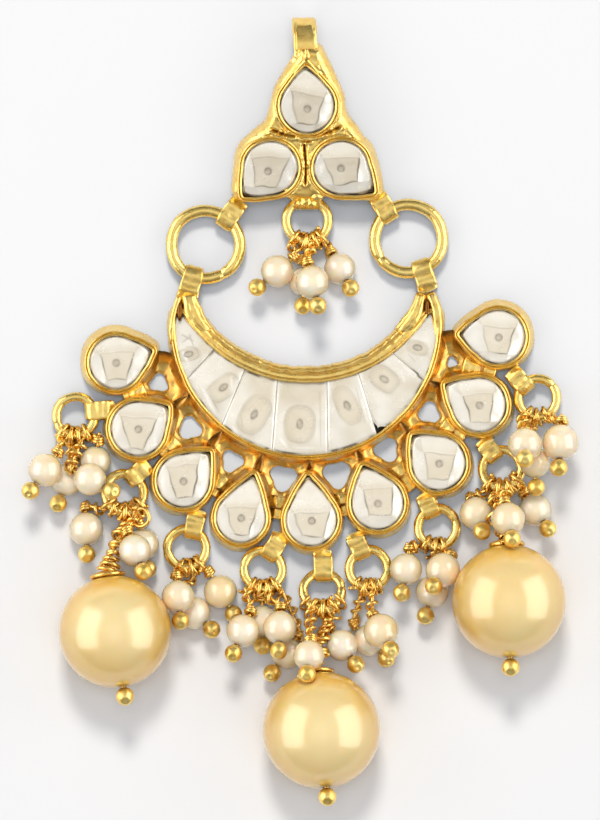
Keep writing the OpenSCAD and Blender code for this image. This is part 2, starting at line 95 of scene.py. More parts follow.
# ------------------------------------------------------------------ small maths
def v2(*a): return np.array(a, float)
def unit(v): v = np.asarray(v, float); return v / max(np.linalg.norm(v), 1e-12)
def cosd(a): return math.cos(math.radians(a))
def sind(a): return math.sin(math.radians(a))
def direction(az, pitch): return v2(cosd(pitch) * cosd(az), cosd(pitch) * sind(az), sind(pitch))
def rot_z(v, a): return v2(v[0] * cosd(a) - v[1] * sind(a), v[0] * sind(a) + v[1] * cosd(a), v[2])
def rot_y(v, a): return v2(v[0] * cosd(a) + v[2] * sind(a), v[1], -v[0] * sind(a) + v[2] * cosd(a))
def big_r(name): return CENTRE_R if name == "0" else JUMP_R
def strap_at(name):
    r = RINGS[name]
    return v2(r[0] + big_r(name) * cosd(r[2]), r[1] + big_r(name) * sind(r[2]), r[6])
def on_ring(name, a, out=0.0, up=0.0):
    """A point of a ring at a bearing; out and up move it off the wire, in the ring's own plane."""
    r, b = RINGS[name], big_r(name)
    k = a - r[2]
    return strap_at(name) + rot_z(rot_y(v2((b + out) * cosd(k) - b, (b + out) * sind(k), up), r[5]), r[2])
def along_ring(name, a):
    r = RINGS[name]
    k = a - r[2]
    return rot_z(rot_y(v2(-sind(k), cosd(k), 0), r[5]), r[2])
def nz(p, f, seed=0.0):
    return noise.noise(Vector((p[0] * f + seed * 7.31, p[1] * f - seed * 3.17, p[2] * f + seed * 5.7)))
def smooth(a, b, x):
    t = np.clip((np.asarray(x, float) - a) / (b - a), 0, 1)
    return t * t * (3 - 2 * t)

# ------------------------------------------------------------------ meshes
class Geo:
    """Collects vertices (mm, before MID is added), faces and a few values per vertex."""
    def __init__(self):
        self.v, self.f, self.m, self.a = [], [], [], {}
    def add(self, verts, faces, mat=0, **values):
        n = len(self.v)
        verts = [tuple(map(float, p)) for p in verts]
        for k in values:
            if k not in self.a: self.a[k] = [0.0] * n
        for k in self.a:
            x = values.get(k, 0.0)
            self.a[k] += list(map(float, x)) if np.ndim(x) else [float(x)] * len(verts)
        self.v += verts
        self.f += [tuple(i + n for i in f) for f in faces]
        self.m += [mat] * len(faces)
    def wobble(self, amp, freq, seed, start=0, floor=0.0):
        """Hand-made unevenness: each vertex moves a little, by smooth noise."""
        for i in range(start, len(self.v)):
            p = self.v[i]
            d = [amp * noise.noise(Vector((p[0] * freq + seed, p[1] * freq, p[2] * freq + 11.3 * k))) for k in range(3)]
            z = p[2] + d[2]
            if floor is not None: z = max(z, floor) if p[2] > floor + 1e-6 else p[2]
            self.v[i] = (p[0] + d[0], p[1] + d[1], z)
    def make(self, name, mats, slot, nodes=(), angle=40, place=True):
        me = bpy.data.meshes.new(name)
        off = MID if place else np.zeros(3)
        me.from_pydata([((p[0] + off[0]) * MM, (p[1] + off[1]) * MM, (p[2] + off[2]) * MM) for p in self.v], [], self.f)
        me.validate()
        for m in mats: me.materials.append(m)
        if len(mats) > 1: me.polygons.foreach_set("material_index", self.m)
        for k, x in self.a.items():
            at = me.attributes.new(k, "FLOAT", "POINT")
            at.data.foreach_set("value", np.array(x, np.float32))
        me.polygons.foreach_set("use_smooth", [True] * len(me.polygons))
        if angle < 180: me.set_sharp_from_angle(angle=math.radians(angle))
        me.update()
        ob = bpy.data.objects.new(name, me)
        bpy.context.scene.collection.objects.link(ob)
        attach(ob, "root")
        if nodes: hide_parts(*nodes)
        return ob

def grid_faces(rows, cols, close_rows=False, close_cols=False, flip=False):
    out = []
    for i in range(rows if close_rows else rows - 1):
        for j in range(cols if close_cols else cols - 1):
            a, b = i * cols + j, i * cols + (j + 1) % cols
            c, d = ((i + 1) % rows) * cols + (j + 1) % cols, ((i + 1) % rows) * cols + j
            out.append((a, d, c, b) if flip else (a, b, c, d))
    return out

def frames(path, closed=False, up=None):
    """Two directions across the path at each point: fixed against up, or carried along."""
    P = np.asarray(path, float)
    n = len(P)
    if closed: T = np.roll(P, -1, 0) - np.roll(P, 1, 0)
    else:
        T = np.gradient(P, axis=0)
    T /= np.maximum(np.linalg.norm(T, axis=1), 1e-9)[:, None]
    S, N = np.zeros_like(P), np.zeros_like(P)
    if up is not None:
        u = unit(up)
        for i in range(n):
            s = np.cross(T[i], u)
            S[i] = unit(s)
            N[i] = np.cross(S[i], T[i])
        return T, S, N
    a = v2(0, 0, 1) if abs(T[0][2]) < 0.8 else v2(1, 0, 0)
    s = unit(np.cross(T[0], a))
    for i in range(n):
        if i:
            s = s - T[i] * np.dot(s, T[i])
            s = unit(s)
        S[i] = s
        N[i] = np.cross(s, T[i])
    if closed:  # spread the twist that is left over
        e = S[0] - T[-1] * np.dot(S[0], T[-1])
        ang = math.atan2(np.dot(np.cross(S[-1], e), T[-1]), np.dot(S[-1], e))
        for i in range(n):
            k = ang * i / n
            S[i] = S[i] * math.cos(k) + np.cross(T[i], S[i]) * math.sin(k)
            N[i] = np.cross(S[i], T[i])
    return T, S, N

def wire(g, path, r, sides=10, closed=False, mat=0, ends="round", up=None, squash=1.0, **values):
    """A round wire along a path. r is a number or one number per point; squash flattens it along its second direction."""
    P = np.asarray(path, float)
    R = np.full(len(P), float(r)) if np.ndim(r) == 0 else np.asarray(r, float)
    if not closed and ends == "round":
        d0, d1 = unit(P[0] - P[1]), unit(P[-1] - P[-2])
        P = np.vstack([P[0] + d0 * R[0] * 0.92, P[0] + d0 * R[0] * 0.6, P, P[-1] + d1 * R[-1] * 0.6, P[-1] + d1 * R[-1] * 0.92])
        R = np.concatenate([[R[0] * 0.35, R[0] * 0.8], R, [R[-1] * 0.8, R[-1] * 0.35]])
    T, S, N = frames(P, closed, up)
    ang = np.linspace(0, 2 * math.pi, sides, endpoint=False)
    verts = []
    for i in range(len(P)):
        for t in ang:
            verts.append(P[i] + S[i] * R[i] * math.cos(t) + N[i] * R[i] * squash * math.sin(t))
    faces = grid_faces(len(P), sides, close_rows=closed, close_cols=True, flip=True)
    if not closed:
        faces.append(tuple(range(sides)))
        faces.append(tuple((len(P) - 1) * sides + j for j in reversed(range(sides))))
    g.add(verts, faces, mat, **values)

def band(g, path, widths, thick, up, corner=0.08, mat=0, **values):
    """A flat strip with rounded edges along a path. Its flat side faces up."""
    P = np.asarray(path, float)
    W = np.full(len(P), float(widths)) if np.ndim(widths) == 0 else np.asarray(widths, float)
    H = np.full(len(P), float(thick)) if np.ndim(thick) == 0 else np.asarray(thick, float)
    T, S, N = frames(P, False, None)
    U = np.asarray(up, float)
    verts = []
    cols = None
    for i in range(len(P)):
        s = unit(U - T[i] * np.dot(U, T[i]))       # across the strip: up is the direction of its width
        n = np.cross(T[i], s)
        w, h, c = W[i] / 2, H[i] / 2, min(corner, H[i] * 0.45)
        row = []
        for k in range(13): row.append((-w + c + (2 * w - 2 * c) * k / 12, h))
        row += [(w - c * 0.3, h - c * 0.3), (w, h - c), (w, -h + c), (w - c * 0.3, -h + c * 0.3)]
        for k in range(13): row.append((w - c - (2 * w - 2 * c) * k / 12, -h))
        row += [(-w + c * 0.3, -h + c * 0.3), (-w, -h + c), (-w, h - c), (-w + c * 0.3, h - c * 0.3)]
        cols = len(row)
        verts += [P[i] + s * a + n * b for a, b in row]
    faces = grid_faces(len(P), cols, close_cols=True, flip=True)
    faces.append(tuple(range(cols)))
    faces.append(tuple((len(P) - 1) * cols + j for j in reversed(range(cols))))
    g.add(verts, faces, mat, **values)

def lathe(g, c, axis, prof, seg=32, mat=0, **values):
    """Turns a profile of (distance from the axis, place along it) round an axis through c."""
    t = unit(axis)
    a = unit(np.cross(t, v2(0, 0, 1) if abs(t[2]) < 0.9 else v2(1, 0, 0)))
    b = np.cross(t, a)
    verts, vals = [], {k: [] for k in values}
    for r, h in prof:
        for j in range(seg):
            k = 2 * math.pi * j / seg
            verts.append(np.asarray(c) + t * h + (a * math.cos(k) + b * math.sin(k)) * r)
    n = len(prof)
    faces = grid_faces(n, seg, close_cols=True)
    faces.append(tuple(reversed(range(seg))))
    faces.append(tuple((n - 1) * seg + j for j in range(seg)))
    rep = {k: np.repeat(x, seg) if np.ndim(x) else x for k, x in values.items()}
    g.add(verts, faces, mat, **rep)

def blob(g, c, r, seg=20, lump=0.08, f=2.0, seed=0.0, mat=0, scale=(1, 1, 1), axis=None, dimple=0.0, **values):
    """A lumpy ball. With dimple, it has a small dent at the end of axis."""
    t = unit(axis if axis is not None else v2(0, 0, 1))
    a = unit(np.cross(t, v2(0, 0, 1) if abs(t[2]) < 0.9 else v2(1, 0, 0)))
    b = np.cross(t, a)
    verts = []
    rings = seg * 2 // 3
    for i in range(rings + 1):
        ph = math.pi * (i + 0.0) / rings
        ph = min(max(ph, 0.02), math.pi - 0.02)
        for j in range(seg):
            k = 2 * math.pi * j / seg
            n = a * math.sin(ph) * math.cos(k) + b * math.sin(ph) * math.sin(k) + t * math.cos(ph)
            q = r * (1 + lump * nz(n * f, 1.0, seed))
            if dimple: q -= dimple * r * math.exp(-(ph / 0.28) ** 2) - dimple * 0.35 * r * math.exp(-((ph - 0.5) / 0.2) ** 2)
            verts.append(np.asarray(c) + n * q * np.asarray(scale))
    faces = grid_faces(rings + 1, seg, close_cols=True, flip=True)
    faces.append(tuple(range(seg)))
    faces.append(tuple(rings * seg + j for j in reversed(range(seg))))
    g.add(verts, faces, mat, **values)

# ------------------------------------------------------------------ outlines
def resample(P, n, closed=True):
    P = np.asarray(P, float)
    Q = np.vstack([P, P[:1]]) if closed else P
    s = np.concatenate([[0], np.cumsum(np.linalg.norm(np.diff(Q, axis=0), axis=1))])
    t = np.linspace(0, s[-1], n, endpoint=not closed)
    return np.column_stack([np.interp(t, s, Q[:, k]) for k in range(Q.shape[1])])

def soften(P, sigma, closed=True, step=None):
    """Gaussian smoothing along an evenly sampled outline; sigma is in mm."""
    P = np.asarray(P, float)
    step = step or np.linalg.norm(P[1] - P[0])
    k = max(1, int(round(3 * sigma / step)))
    w = np.exp(-0.5 * (np.arange(-k, k + 1) * step / sigma) ** 2)
    w /= w.sum()
    if closed:
        return sum(np.roll(P, i, 0) * w[i + k] for i in range(-k, k + 1))
    Q = np.vstack([P[:1]] * k + [P] + [P[-1:]] * k)
    return sum(Q[k + i:k + i + len(P)] * w[i + k] for i in range(-k, k + 1))

def drop(r, tip, n=168, round_tip=0.16, bulge=0.1):
    """Outline of a drop, counter-clockwise, round end at the origin and point along +X. Its flanks swell a little."""
    a = math.degrees(math.acos(r / tip))
    t1 = v2(r * cosd(a), r * sind(a))
    pts = [v2(r * cosd(k), r * sind(k)) for k in np.linspace(a, 360 - a, 90)]
    for k in np.linspace(0, 1, 30)[1:]:
        p = (t1 * v2(1, -1)) * (1 - k) + v2(tip, 0) * k
        nrm = v2(r * cosd(a), -r * sind(a)) / r
        pts.append(p + nrm * bulge * math.sin(math.pi * k) ** 1.2)
    for k in np.linspace(0, 1, 30)[1:-1]:
        p = v2(tip, 0) * (1 - k) + t1 * k
        nrm = v2(r * cosd(a), r * sind(a)) / r
        pts.append(p + nrm * bulge * math.sin(math.pi * k) ** 1.2)
    return soften(resample(pts, n), round_tip)

def normals2(P):
    """Outward normals of a counter-clockwise outline."""
    T = np.roll(P, -1, 0) - np.roll(P, 1, 0)
    T /= np.maximum(np.linalg.norm(T, axis=1), 1e-9)[:, None]
    return np.column_stack([T[:, 1], -T[:, 0]])

def place2(P, pos, ang):
    c, s = cosd(ang), sind(ang)
    return np.column_stack([P[:, 0] * c - P[:, 1] * s + pos[0], P[:, 0] * s + P[:, 1] * c + pos[1]])

def inside(P, q):
    """Whether a point is inside an outline."""
    A, B = P, np.roll(P, 1, 0)
    cross = (A[:, 1] > q[1]) != (B[:, 1] > q[1])
    with np.errstate(divide="ignore", invalid="ignore"):
        xs = (B[:, 0] - A[:, 0]) * (q[1] - A[:, 1]) / (B[:, 1] - A[:, 1]) + A[:, 0]
    return bool(np.count_nonzero(cross & (q[0] < xs)) % 2)

def lift_top(p):
    """From the trefoil's own flat place to where it lies, tilted on its hook."""
    p = np.asarray(p, float)
    y, z = p[..., 1], p[..., 2]
    c, s = cosd(TOP_TILT), sind(TOP_TILT)
    return np.stack([p[..., 0], TOP_Y + y * c - z * s, TOP_Z + y * s + z * c], -1)

def petal_pose(i):
    p = PETALS[i]
    return v2(MOON_C[0] + p[1] * sind(p[0]), MOON_C[1] - p[1] * cosd(p[0])), p[0] + 90 + p[4]

# ------------------------------------------------------------------ materials
def nodes_of(name):
    m = bpy.data.materials.new(name)
    m.use_nodes = True
    nt = m.node_tree
    return m, nt, nt.nodes["Principled BSDF"]

def noise_tex(nt, scale, detail=3.0, rough=0.55, distort=0.0, loc=(0, 0, 0)):
    tc = nt.nodes.new("ShaderNodeTexCoord")
    mp = nt.nodes.new("ShaderNodeMapping")
    mp.inputs["Location"].default_value = loc
    nt.links.new(tc.outputs["Object"], mp.inputs["Vector"])
    n = nt.nodes.new("ShaderNodeTexNoise")
    n.inputs["Scale"].default_value = scale
    n.inputs["Detail"].default_value = detail
    n.inputs["Roughness"].default_value = rough
    n.inputs["Distortion"].default_value = distort
    nt.links.new(mp.outputs["Vector"], n.inputs["Vector"])
    return n.outputs["Fac"]

def ramp(nt, fac, stops):
    r = nt.nodes.new("ShaderNodeValToRGB")
    e = r.color_ramp.elements
    while len(e) < len(stops): e.new(0.5)
    for k, (pos, col) in enumerate(stops):
        e[k].position = pos
        e[k].color = (*col, 1) if len(col) == 3 else col
    nt.links.new(fac, r.inputs["Fac"])
    return r.outputs["Color"]

def attribute(nt, name):
    a = nt.nodes.new("ShaderNodeAttribute")
    a.attribute_name = name
    return a.outputs["Fac"]

def mix(nt, fac, a, b, mode="MIX"):
    m = nt.nodes.new("ShaderNodeMix")
    m.data_type = "RGBA"
    m.blend_type = mode
    ins = [s for s in m.inputs if s.enabled]
    for s, x in zip(ins, (fac, a, b)):
        if hasattr(x, "links") or hasattr(x, "is_output"): nt.links.new(x, s)
        elif np.ndim(x): s.default_value = (*x, 1)
        else: s.default_value = x
    return [s for s in m.outputs if s.enabled][0]

def remap(nt, fac, a, b, c, d):
    m = nt.nodes.new("ShaderNodeMapRange")
    for k, x in (("From Min", a), ("From Max", b), ("To Min", c), ("To Max", d)): m.inputs[k].default_value = x
    nt.links.new(fac, m.inputs["Value"])
    return m.outputs["Result"]

def bump(nt, layers):
    """Chained bumps: (height socket, depth in metres, strength)."""
    last = None
    for h, dist, strength in layers:
        b = nt.nodes.new("ShaderNodeBump")
        b.inputs["Distance"].default_value = dist
        b.inputs["Strength"].default_value = strength
        nt.links.new(h, b.inputs["Height"])
        if last: nt.links.new(last, b.inputs["Normal"])
        last = b.outputs["Normal"]
    return last

def gold_mat(name, light, deep, recess, rough=(0.24, 0.40), dents=0.00007, grain=0.000008, scale=900):
    m, nt, p = nodes_of(name)
    n1 = noise_tex(nt, scale, 3, 0.6, 0.6)
    col = ramp(nt, n1, [(0.32, deep), (0.62, light)])
    # painted shade: a deep orange-brown is mixed into the gold in hollows, pockets and under parts, where shade falls,
    # by a value each vertex carries
    col = mix(nt, remap(nt, attribute(nt, "recess"), 0.0, 1.0, 0.0, 0.95), col, recess)
    # painted shade: a dark red-brown is mixed in along grooves, in the cups' pockets, beside the rims and in dark
    # hollows, by a value each vertex carries
    col = mix(nt, remap(nt, attribute(nt, "crease"), 0.0, 1.0, 0.0, 0.9), col, (0.16, 0.055, 0.012))
    nt.links.new(col, p.inputs["Base Color"])
    n2 = noise_tex(nt, scale * 2.3, 2, 0.5, loc=(0.01, 0.02, 0))
    nt.links.new(remap(nt, n2, 0.3, 0.7, rough[0], rough[1]), p.inputs["Roughness"])
    n3 = noise_tex(nt, scale * 0.9, 2, 0.5, 0.4, loc=(0.03, 0, 0))
    n4 = noise_tex(nt, scale * 6, 3, 0.6, loc=(0, 0.05, 0))
    nt.links.new(bump(nt, [(n3, dents, 0.8), (n4, grain, 0.7)]), p.inputs["Normal"])
    p.inputs["Metallic"].default_value = 1.0
    p.inputs["Specular IOR Level"].default_value = 0.5
    return m

GOLD = gold_mat("gold_plate", (1.0, 0.735, 0.235), (0.93, 0.60, 0.145), (0.66, 0.36, 0.08))
RING_GOLD = gold_mat("ring_gold", (1.0, 0.75, 0.25), (0.93, 0.63, 0.165), (0.58, 0.31, 0.07), (0.18, 0.32), 0.00008)
PIN_GOLD = gold_mat("pin_gold", (1.0, 0.71, 0.215), (0.94, 0.55, 0.125), (0.56, 0.24, 0.04), (0.18, 0.32), 0.00004)
BALL_GOLD = gold_mat("ball_gold", (0.97, 0.74, 0.26), (0.90, 0.60, 0.13), (0.55, 0.30, 0.07), (0.34, 0.48), 0.00007)

def lac_mat():
    m, nt, p = nodes_of("dark_lac")
    n = noise_tex(nt, 1500, 3, 0.6)
    nt.links.new(ramp(nt, n, [(0.3, (0.018, 0.008, 0.003)), (0.75, (0.07, 0.032, 0.010))]), p.inputs["Base Color"])
    nt.links.new(bump(nt, [(n, 0.00008, 0.7)]), p.inputs["Normal"])
    p.inputs["Roughness"].default_value = 0.55
    return m
LAC = lac_mat()

def stone_mat():
    m, nt, p = nodes_of("foiled_crystal")
    n = noise_tex(nt, 420, 2, 0.5, 0.5)
    n2 = noise_tex(nt, 700, 2, 0.5, 0.4, loc=(0.02, 0.01, 0))
    col = ramp(nt, n, [(0.3, (0.66, 0.573, 0.422)), (0.5, (0.695, 0.612, 0.463)), (0.7, (0.722, 0.645, 0.503))])
    # painted highlight: a light cream is mixed into the foil where the stone is painted as if catching the light
    col = mix(nt, attribute(nt, "pale"), col, (0.94, 0.895, 0.79))
    col = mix(nt, attribute(nt, "edge"), col, (0.62, 0.52, 0.30))
    col = mix(nt, attribute(nt, "line"), col, (0.15, 0.12, 0.08))
    nt.links.new(col, p.inputs["Base Color"])
    nt.links.new(remap(nt, n2, 0.3, 0.7, 0.20, 0.30), p.inputs["Roughness"])
    p.inputs["Metallic"].default_value = 0.30
    p.inputs["Coat Weight"].default_value = 1.0
    p.inputs["Coat Roughness"].default_value = 0.02
    p.inputs["Coat IOR"].default_value = 1.45
    return m
STONE = stone_mat()

def pearl_mat(name, stops, low, warm, rough, metallic, scale, glow, shine, coat, coat_rough, inner=0.55, coat_ior=1.5):
    m, nt, p = nodes_of(name)
    n = noise_tex(nt, scale, 2, 0.5, 0.3)
    col = ramp(nt, n, stops)
    # each pearl's own warmer tone, at random and for some single pearls, plus a painted reflection of the gold towards
    # the wrapped end
    col = mix(nt, attribute(nt, "tint"), col, warm)
    # painted shade: the sides and underside of each pearl are painted a deeper amber, as they turn away from the light
    # above
    col = mix(nt, attribute(nt, "low"), col, low)
    col = mix(nt, attribute(nt, "hole"), col, (0.30, 0.14, 0.04))
    nt.links.new(col, p.inputs["Base Color"])
    p.inputs["Roughness"].default_value = rough
    n3 = noise_tex(nt, 420, 1, 0.4, 0.1, loc=(0.05, 0.01, 0.02))
    nt.links.new(bump(nt, [(n3, 0.00001, 0.5)]), p.inputs["Normal"])
    p.inputs["Metallic"].default_value = metallic
    p.inputs["Specular IOR Level"].default_value = 0.4
    p.inputs["Specular Tint"].default_value = (*shine, 1)
    p.inputs["Subsurface Weight"].default_value = inner
    p.inputs["Subsurface Radius"].default_value = (1.0, 0.62, 0.28)
    p.inputs["Subsurface Scale"].default_value = glow
    p.inputs["Coat Weight"].default_value = coat
    p.inputs["Coat Roughness"].default_value = coat_rough
    p.inputs["Coat IOR"].default_value = coat_ior
    return m
SMALL_PEARL = pearl_mat("small_pearl", [(0.35, (1.0, 0.76, 0.55)), (0.65, (1.0, 0.83, 0.68))], (1.0, 0.73, 0.39), (1.0, 0.67, 0.32), 0.24, 0.04, 260, 0.0016, (1.0, 0.94, 0.84), 1.0, 0.09, 0.7, 1.75)
LARGE_PEARL = pearl_mat("large_pearl", [(0.3, (0.85, 0.65, 0.285)), (0.7, (0.86, 0.695, 0.355))], (0.91, 0.53, 0.07), (0.92, 0.48, 0.065), 0.30, 0.10, 120, 0.0022, (1.0, 0.90, 0.70), 1.0, 0.15, 0.55, 1.62)

# ------------------------------------------------------------------ cups
def cup_profile(flare, band=0.0):
    """(distance outside the stone's edge, height, how much dark painted shade goes in the creases there), from the
    pocket's floor over the lip and rim to the back. With band, the outside is the broad folded edge of the crescent's
    hollow."""
    f = flare
    a = np.array([(0.07, 0.72, 0.9), (0.04, 1.3, 0.9), (0.03, 1.95, 0.75), (-0.01, 2.2, 0.35), (-0.03, 2.36, 0.1), (0.01, 2.45, 0), (0.08, 2.48, 0),
        (0.14, 2.44, 0), (0.18, 2.35, 0.35), (0.215, 2.31, 0.5), (0.25, 2.35, 0.2), (0.31, 2.39, 0), (0.37, 2.35, 0), (0.42, 2.22, 0), (0.445, 2.02, 0),
        (0.45 + 0.08 * f, 1.8, 0), (0.45 + 0.28 * f, 1.45, 0), (0.45 + 0.55 * f, 1.05, 0), (0.45 + 0.8 * f, 0.6, 0), (0.45 + 0.96 * f, 0.22, 0),
        (0.45 + f, 0.08, 0), (0.40 + f, 0.0, 0)])
    if not band: return a
    b = np.array([(0.07, 0.72, 0.9), (0.04, 1.3, 0.9), (0.03, 1.95, 0.75), (-0.01, 2.2, 0.3), (-0.03, 2.36, 0.1), (0.02, 2.45, 0), (0.10, 2.47, 0),
        (0.18, 2.43, 0), (0.24, 2.35, 0.15), (0.30, 2.28, 0.3), (0.37, 2.27, 0.1), (0.50, 2.29, 0), (0.66, 2.24, 0), (0.80, 2.10, 0.05), (0.88, 1.96, 0.25),
        (0.94, 1.88, 0.35), (1.03, 1.88, 0.1), (1.16, 1.80, 0), (1.30, 1.58, 0), (1.40, 1.2, 0), (1.45, 0.6, 0), (1.46, 0.0, 0)])
    return a * (1 - band) + b * band

def cup(g, outline, flare, seed, lift=None, bumps=(0.04, 0.03), notch=0.0, bands=None):
    """A cup round an outline, closed at its back. flare and bands may be one number or one per outline point."""
    P = np.asarray(outline, float)
    n = len(P)
    N = normals2(P)
    F = np.full(n, float(flare)) if np.ndim(flare) == 0 else np.asarray(flare, float)
    B = np.zeros(n) if bands is None else np.asarray(bands, float)
    verts, rec, cre = [], [], []
    for i in range(n):
        pr = cup_profile(F[i], B[i])
        a = nz((P[i][0], P[i][1], 0), 0.9, seed)
        b = nz((P[i][0], P[i][1], 3), 2.6, seed)
        c = nz((P[i][0], P[i][1], 6), 0.55, seed + 2)
        e = nz((P[i][0], P[i][1], 9), 1.7, seed + 5)
        for k, (d, z, cr) in enumerate(pr):
            w = float(smooth(10, 16, k))
            dd = d + bumps[0] * a * (0.4 + w) + 0.012 * b + (notch * b * w)
            if k > 2: dd += 0.03 * c
            dd += B[i] * 0.10 * e * float(smooth(9, 15, k))
            zz = z + (bumps[1] * a + 0.012 * b) * float(smooth(2, 5, k)) * (1 - float(smooth(16, 20, k)))
            zz = min(max(zz, 0.0), 2.54)
            verts.append((P[i][0] + N[i][0] * dd, P[i][1] + N[i][1] * dd, zz))
            # painted shade: the pocket's lower walls are darkened, and the profile's third value paints dark shade in
            # the pocket and the groove beside the rim
            rec.append(0.3 if k < 3 else 0.0)
            cre.append(cr * (0.75 + 0.5 * max(-0.6, min(0.6, e + a))))
    m = len(cup_profile(0.5))
    faces = grid_faces(n, m, close_rows=True)
    faces.append(tuple(i * m for i in range(n)))                       # pocket's floor
    faces.append(tuple(i * m + m - 1 for i in reversed(range(n))))     # back plate
    V = np.array(verts)
    if lift is not None: V = lift(V)
    g.add(V, faces, 0, recess=rec, crease=cre)

# ------------------------------------------------------------------ stones
def seg_dist(q, a, b):
    d = b - a
    t = min(1.0, max(0.0, float(np.dot(q - a, d) / max(1e-9, np.dot(d, d)))))
    return float(np.linalg.norm(q - a - d * t)), t

def stone(g, outline, centre, z_low, z_top, seed, table=None, dot=0.29, rings=34, lift=None, oval=None, rim_drop=0.14, edge_tone=0.5, marks=(), joint=None, soft=0.12, fade=1.0):
    """A foil-backed stone: a girdle wall, sloping facets round a table and a small culet.
    table is the table's four corners about the culet, from the upper left, clockwise; or oval is the size of a
    round-cornered table, as a share of the outline. The values per vertex say where the foil is painted lighter, as
    painted highlights on facets, joints and marks, and where facet edges show as lines."""
    O = np.asarray(outline, float)
    C = np.asarray(centre, float)
    n = len(O)
    S = np.concatenate([np.linspace(0.03, 0.12, 4), np.linspace(0.15, 1.0, rings)])
    verts, line, pale, edge = [], [], [], []
    slopes = (0.09, 0.31, 0.20, 0.24)
    # painted light: how light each facet round the table is painted, the right-hand ones lightest, as if lit from that
    # side
    tone = (0.30, 1.0, 0.75, 0.90)
    if table is not None:
        T = [v2(*q) for q in table]
        E = []
        for k in range(4):
            a, b = T[k], T[(k + 1) % 4]
            d = unit(b - a)
            E.append((a, b, v2(-d[1], d[0])))                 # outward normals of a clockwise outline
    def look(p, s):
        q = p - C
        w = v2(0.20 * nz((p[0], p[1], 2), 0.8, seed + 3), 0.20 * nz((p[0], p[1], 5), 0.8, seed + 7))
        rr = math.hypot(q[0], q[1])
        if oval is not None:
            rr = math.hypot((q[0] * cosd(oval[2]) + q[1] * sind(oval[2])) * 1.15, (q[1] * cosd(oval[2]) - q[0] * sind(oval[2])) * 0.72)
        if table is not None:
            e = [float(np.dot(q + w - a, nn)) for a, b, nn in E]
            m = max(e)
            k = e.index(m)
            # the corners are rounded, so two facets share the fall there
            drop_ = sum(max(0.0, x) * sl for x, sl in zip(e, slopes))
            o = smooth(-soft, soft * 1.6, m)
            wts = [math.exp(-(m - x) / 0.09) for x in e]
            tn = sum(a * b for a, b in zip(wts, tone)) / sum(wts)
            far = float(smooth(0.0, 0.9, m))
            tn = tn * (0.8 + 0.3 * far) if k != 0 else 0.12 + 0.42 * far
            pl = o * tn
            # facet edges: short dark strokes at the sides, a faint light line along the top, which is a painted
            # highlight
            a, b, nn = E[k]
            t = float(np.clip(np.dot(q - a, b - a) / np.dot(b - a, b - a), 0, 1))
            amp = (0.30, 1.0, 0.75, 0.75)[k] * (0.48 + 0.95 * max(0.0, 0.35 + nz((k * 3.1, t * 1.3, 4.0), 1.0, seed + 4)))
            amp *= 0.4 + 0.6 * math.sin(math.pi * min(1.0, max(0.0, t))) ** 0.5
            l = amp * math.exp(-((m + 0.015) / 0.062) ** 2)
            pl = max(pl, 0.75 * math.exp(-((m - 0.10) / 0.06) ** 2) * (0.5 + 0.5 * (k != 0)))
        else:
            ua, ub = v2(cosd(oval[2]), sind(oval[2])), v2(-sind(oval[2]), cosd(oval[2]))
            x, y = float(np.dot(q, ua)) + 0.5 * w[0], float(np.dot(q, ub)) + 0.5 * w[1]
            m = ((abs(x / oval[0]) ** 2.6 + abs(y / oval[1]) ** 2.6) ** (1 / 2.6) - 1) * (oval[0] + oval[1]) / 2
            drop_ = max(0.0, m) * 0.13
            ang = math.atan2(q[1], q[0])
            side = 0.55 + 0.45 * math.cos(ang + 0.6)
            o = float(smooth(-0.16, 0.24, m))
            flank = abs(x / oval[0]) / max(1e-6, abs(x / oval[0]) + abs(y / oval[1]))
            foot = 1.0 if y < 0 else 0.0
            # painted highlight: the flanks and the lower half of the stone, and a band just outside the table, are
            # painted lighter as if they caught the light
            pl = o * (0.12 + 0.75 * float(smooth(0.35, 0.75, flank)) + 0.45 * foot * (1 - flank))
            rag = 0.4 + 0.9 * max(0.0, 0.3 + nz((math.cos(ang), math.sin(ang), 3), 0.9, seed + 4))
            l = 0.34 * fade * math.exp(-((m) / 0.07) ** 2) * rag
            l = max(l, 0.17 * fade * math.exp(-((m + 0.10) / 0.22) ** 2) * (0.5 + 0.5 * rag))
            pl = max(pl, 0.85 * math.exp(-((m - 0.22) / 0.12) ** 2) * (0.25 + 0.75 * float(smooth(0.3, 0.7, flank)))) * 0.85 - 0.08
        z = z_top - drop_ + 0.03 * nz((p[0], p[1], 0), 0.7, seed) + 0.008 * nz((p[0], p[1], 0), 2.0, seed + 1)
        z -= rim_drop * float(smooth(0.9, 1.0, s))
        z -= 0.04 * math.exp(-(rr / dot) ** 2)
        # the culet: a grey ring, lighter in the middle
        cu = 0.66 * math.exp(-((rr - dot * 0.95) / (dot * 0.30)) ** 2) + 0.42 * math.exp(-(rr / (dot * 0.8)) ** 2)
        l = max(l, cu * (0.8 + 0.4 * nz((q[0], q[1], 7), 3.0, seed)))
        # the thin dark gap seen at the lip, here and there
        near = 1.0
        if joint is not None:
            near = float(smooth(0.1, 0.45, min(seg_dist(p, a, b)[0] for a, b in joint)))
        l = max(l, near * float(smooth(0.915, 0.955, s)) * min(0.95, max(0.0, 0.30 + 2.0 * nz((p[0], p[1], 9), 1.3, seed + 15))))
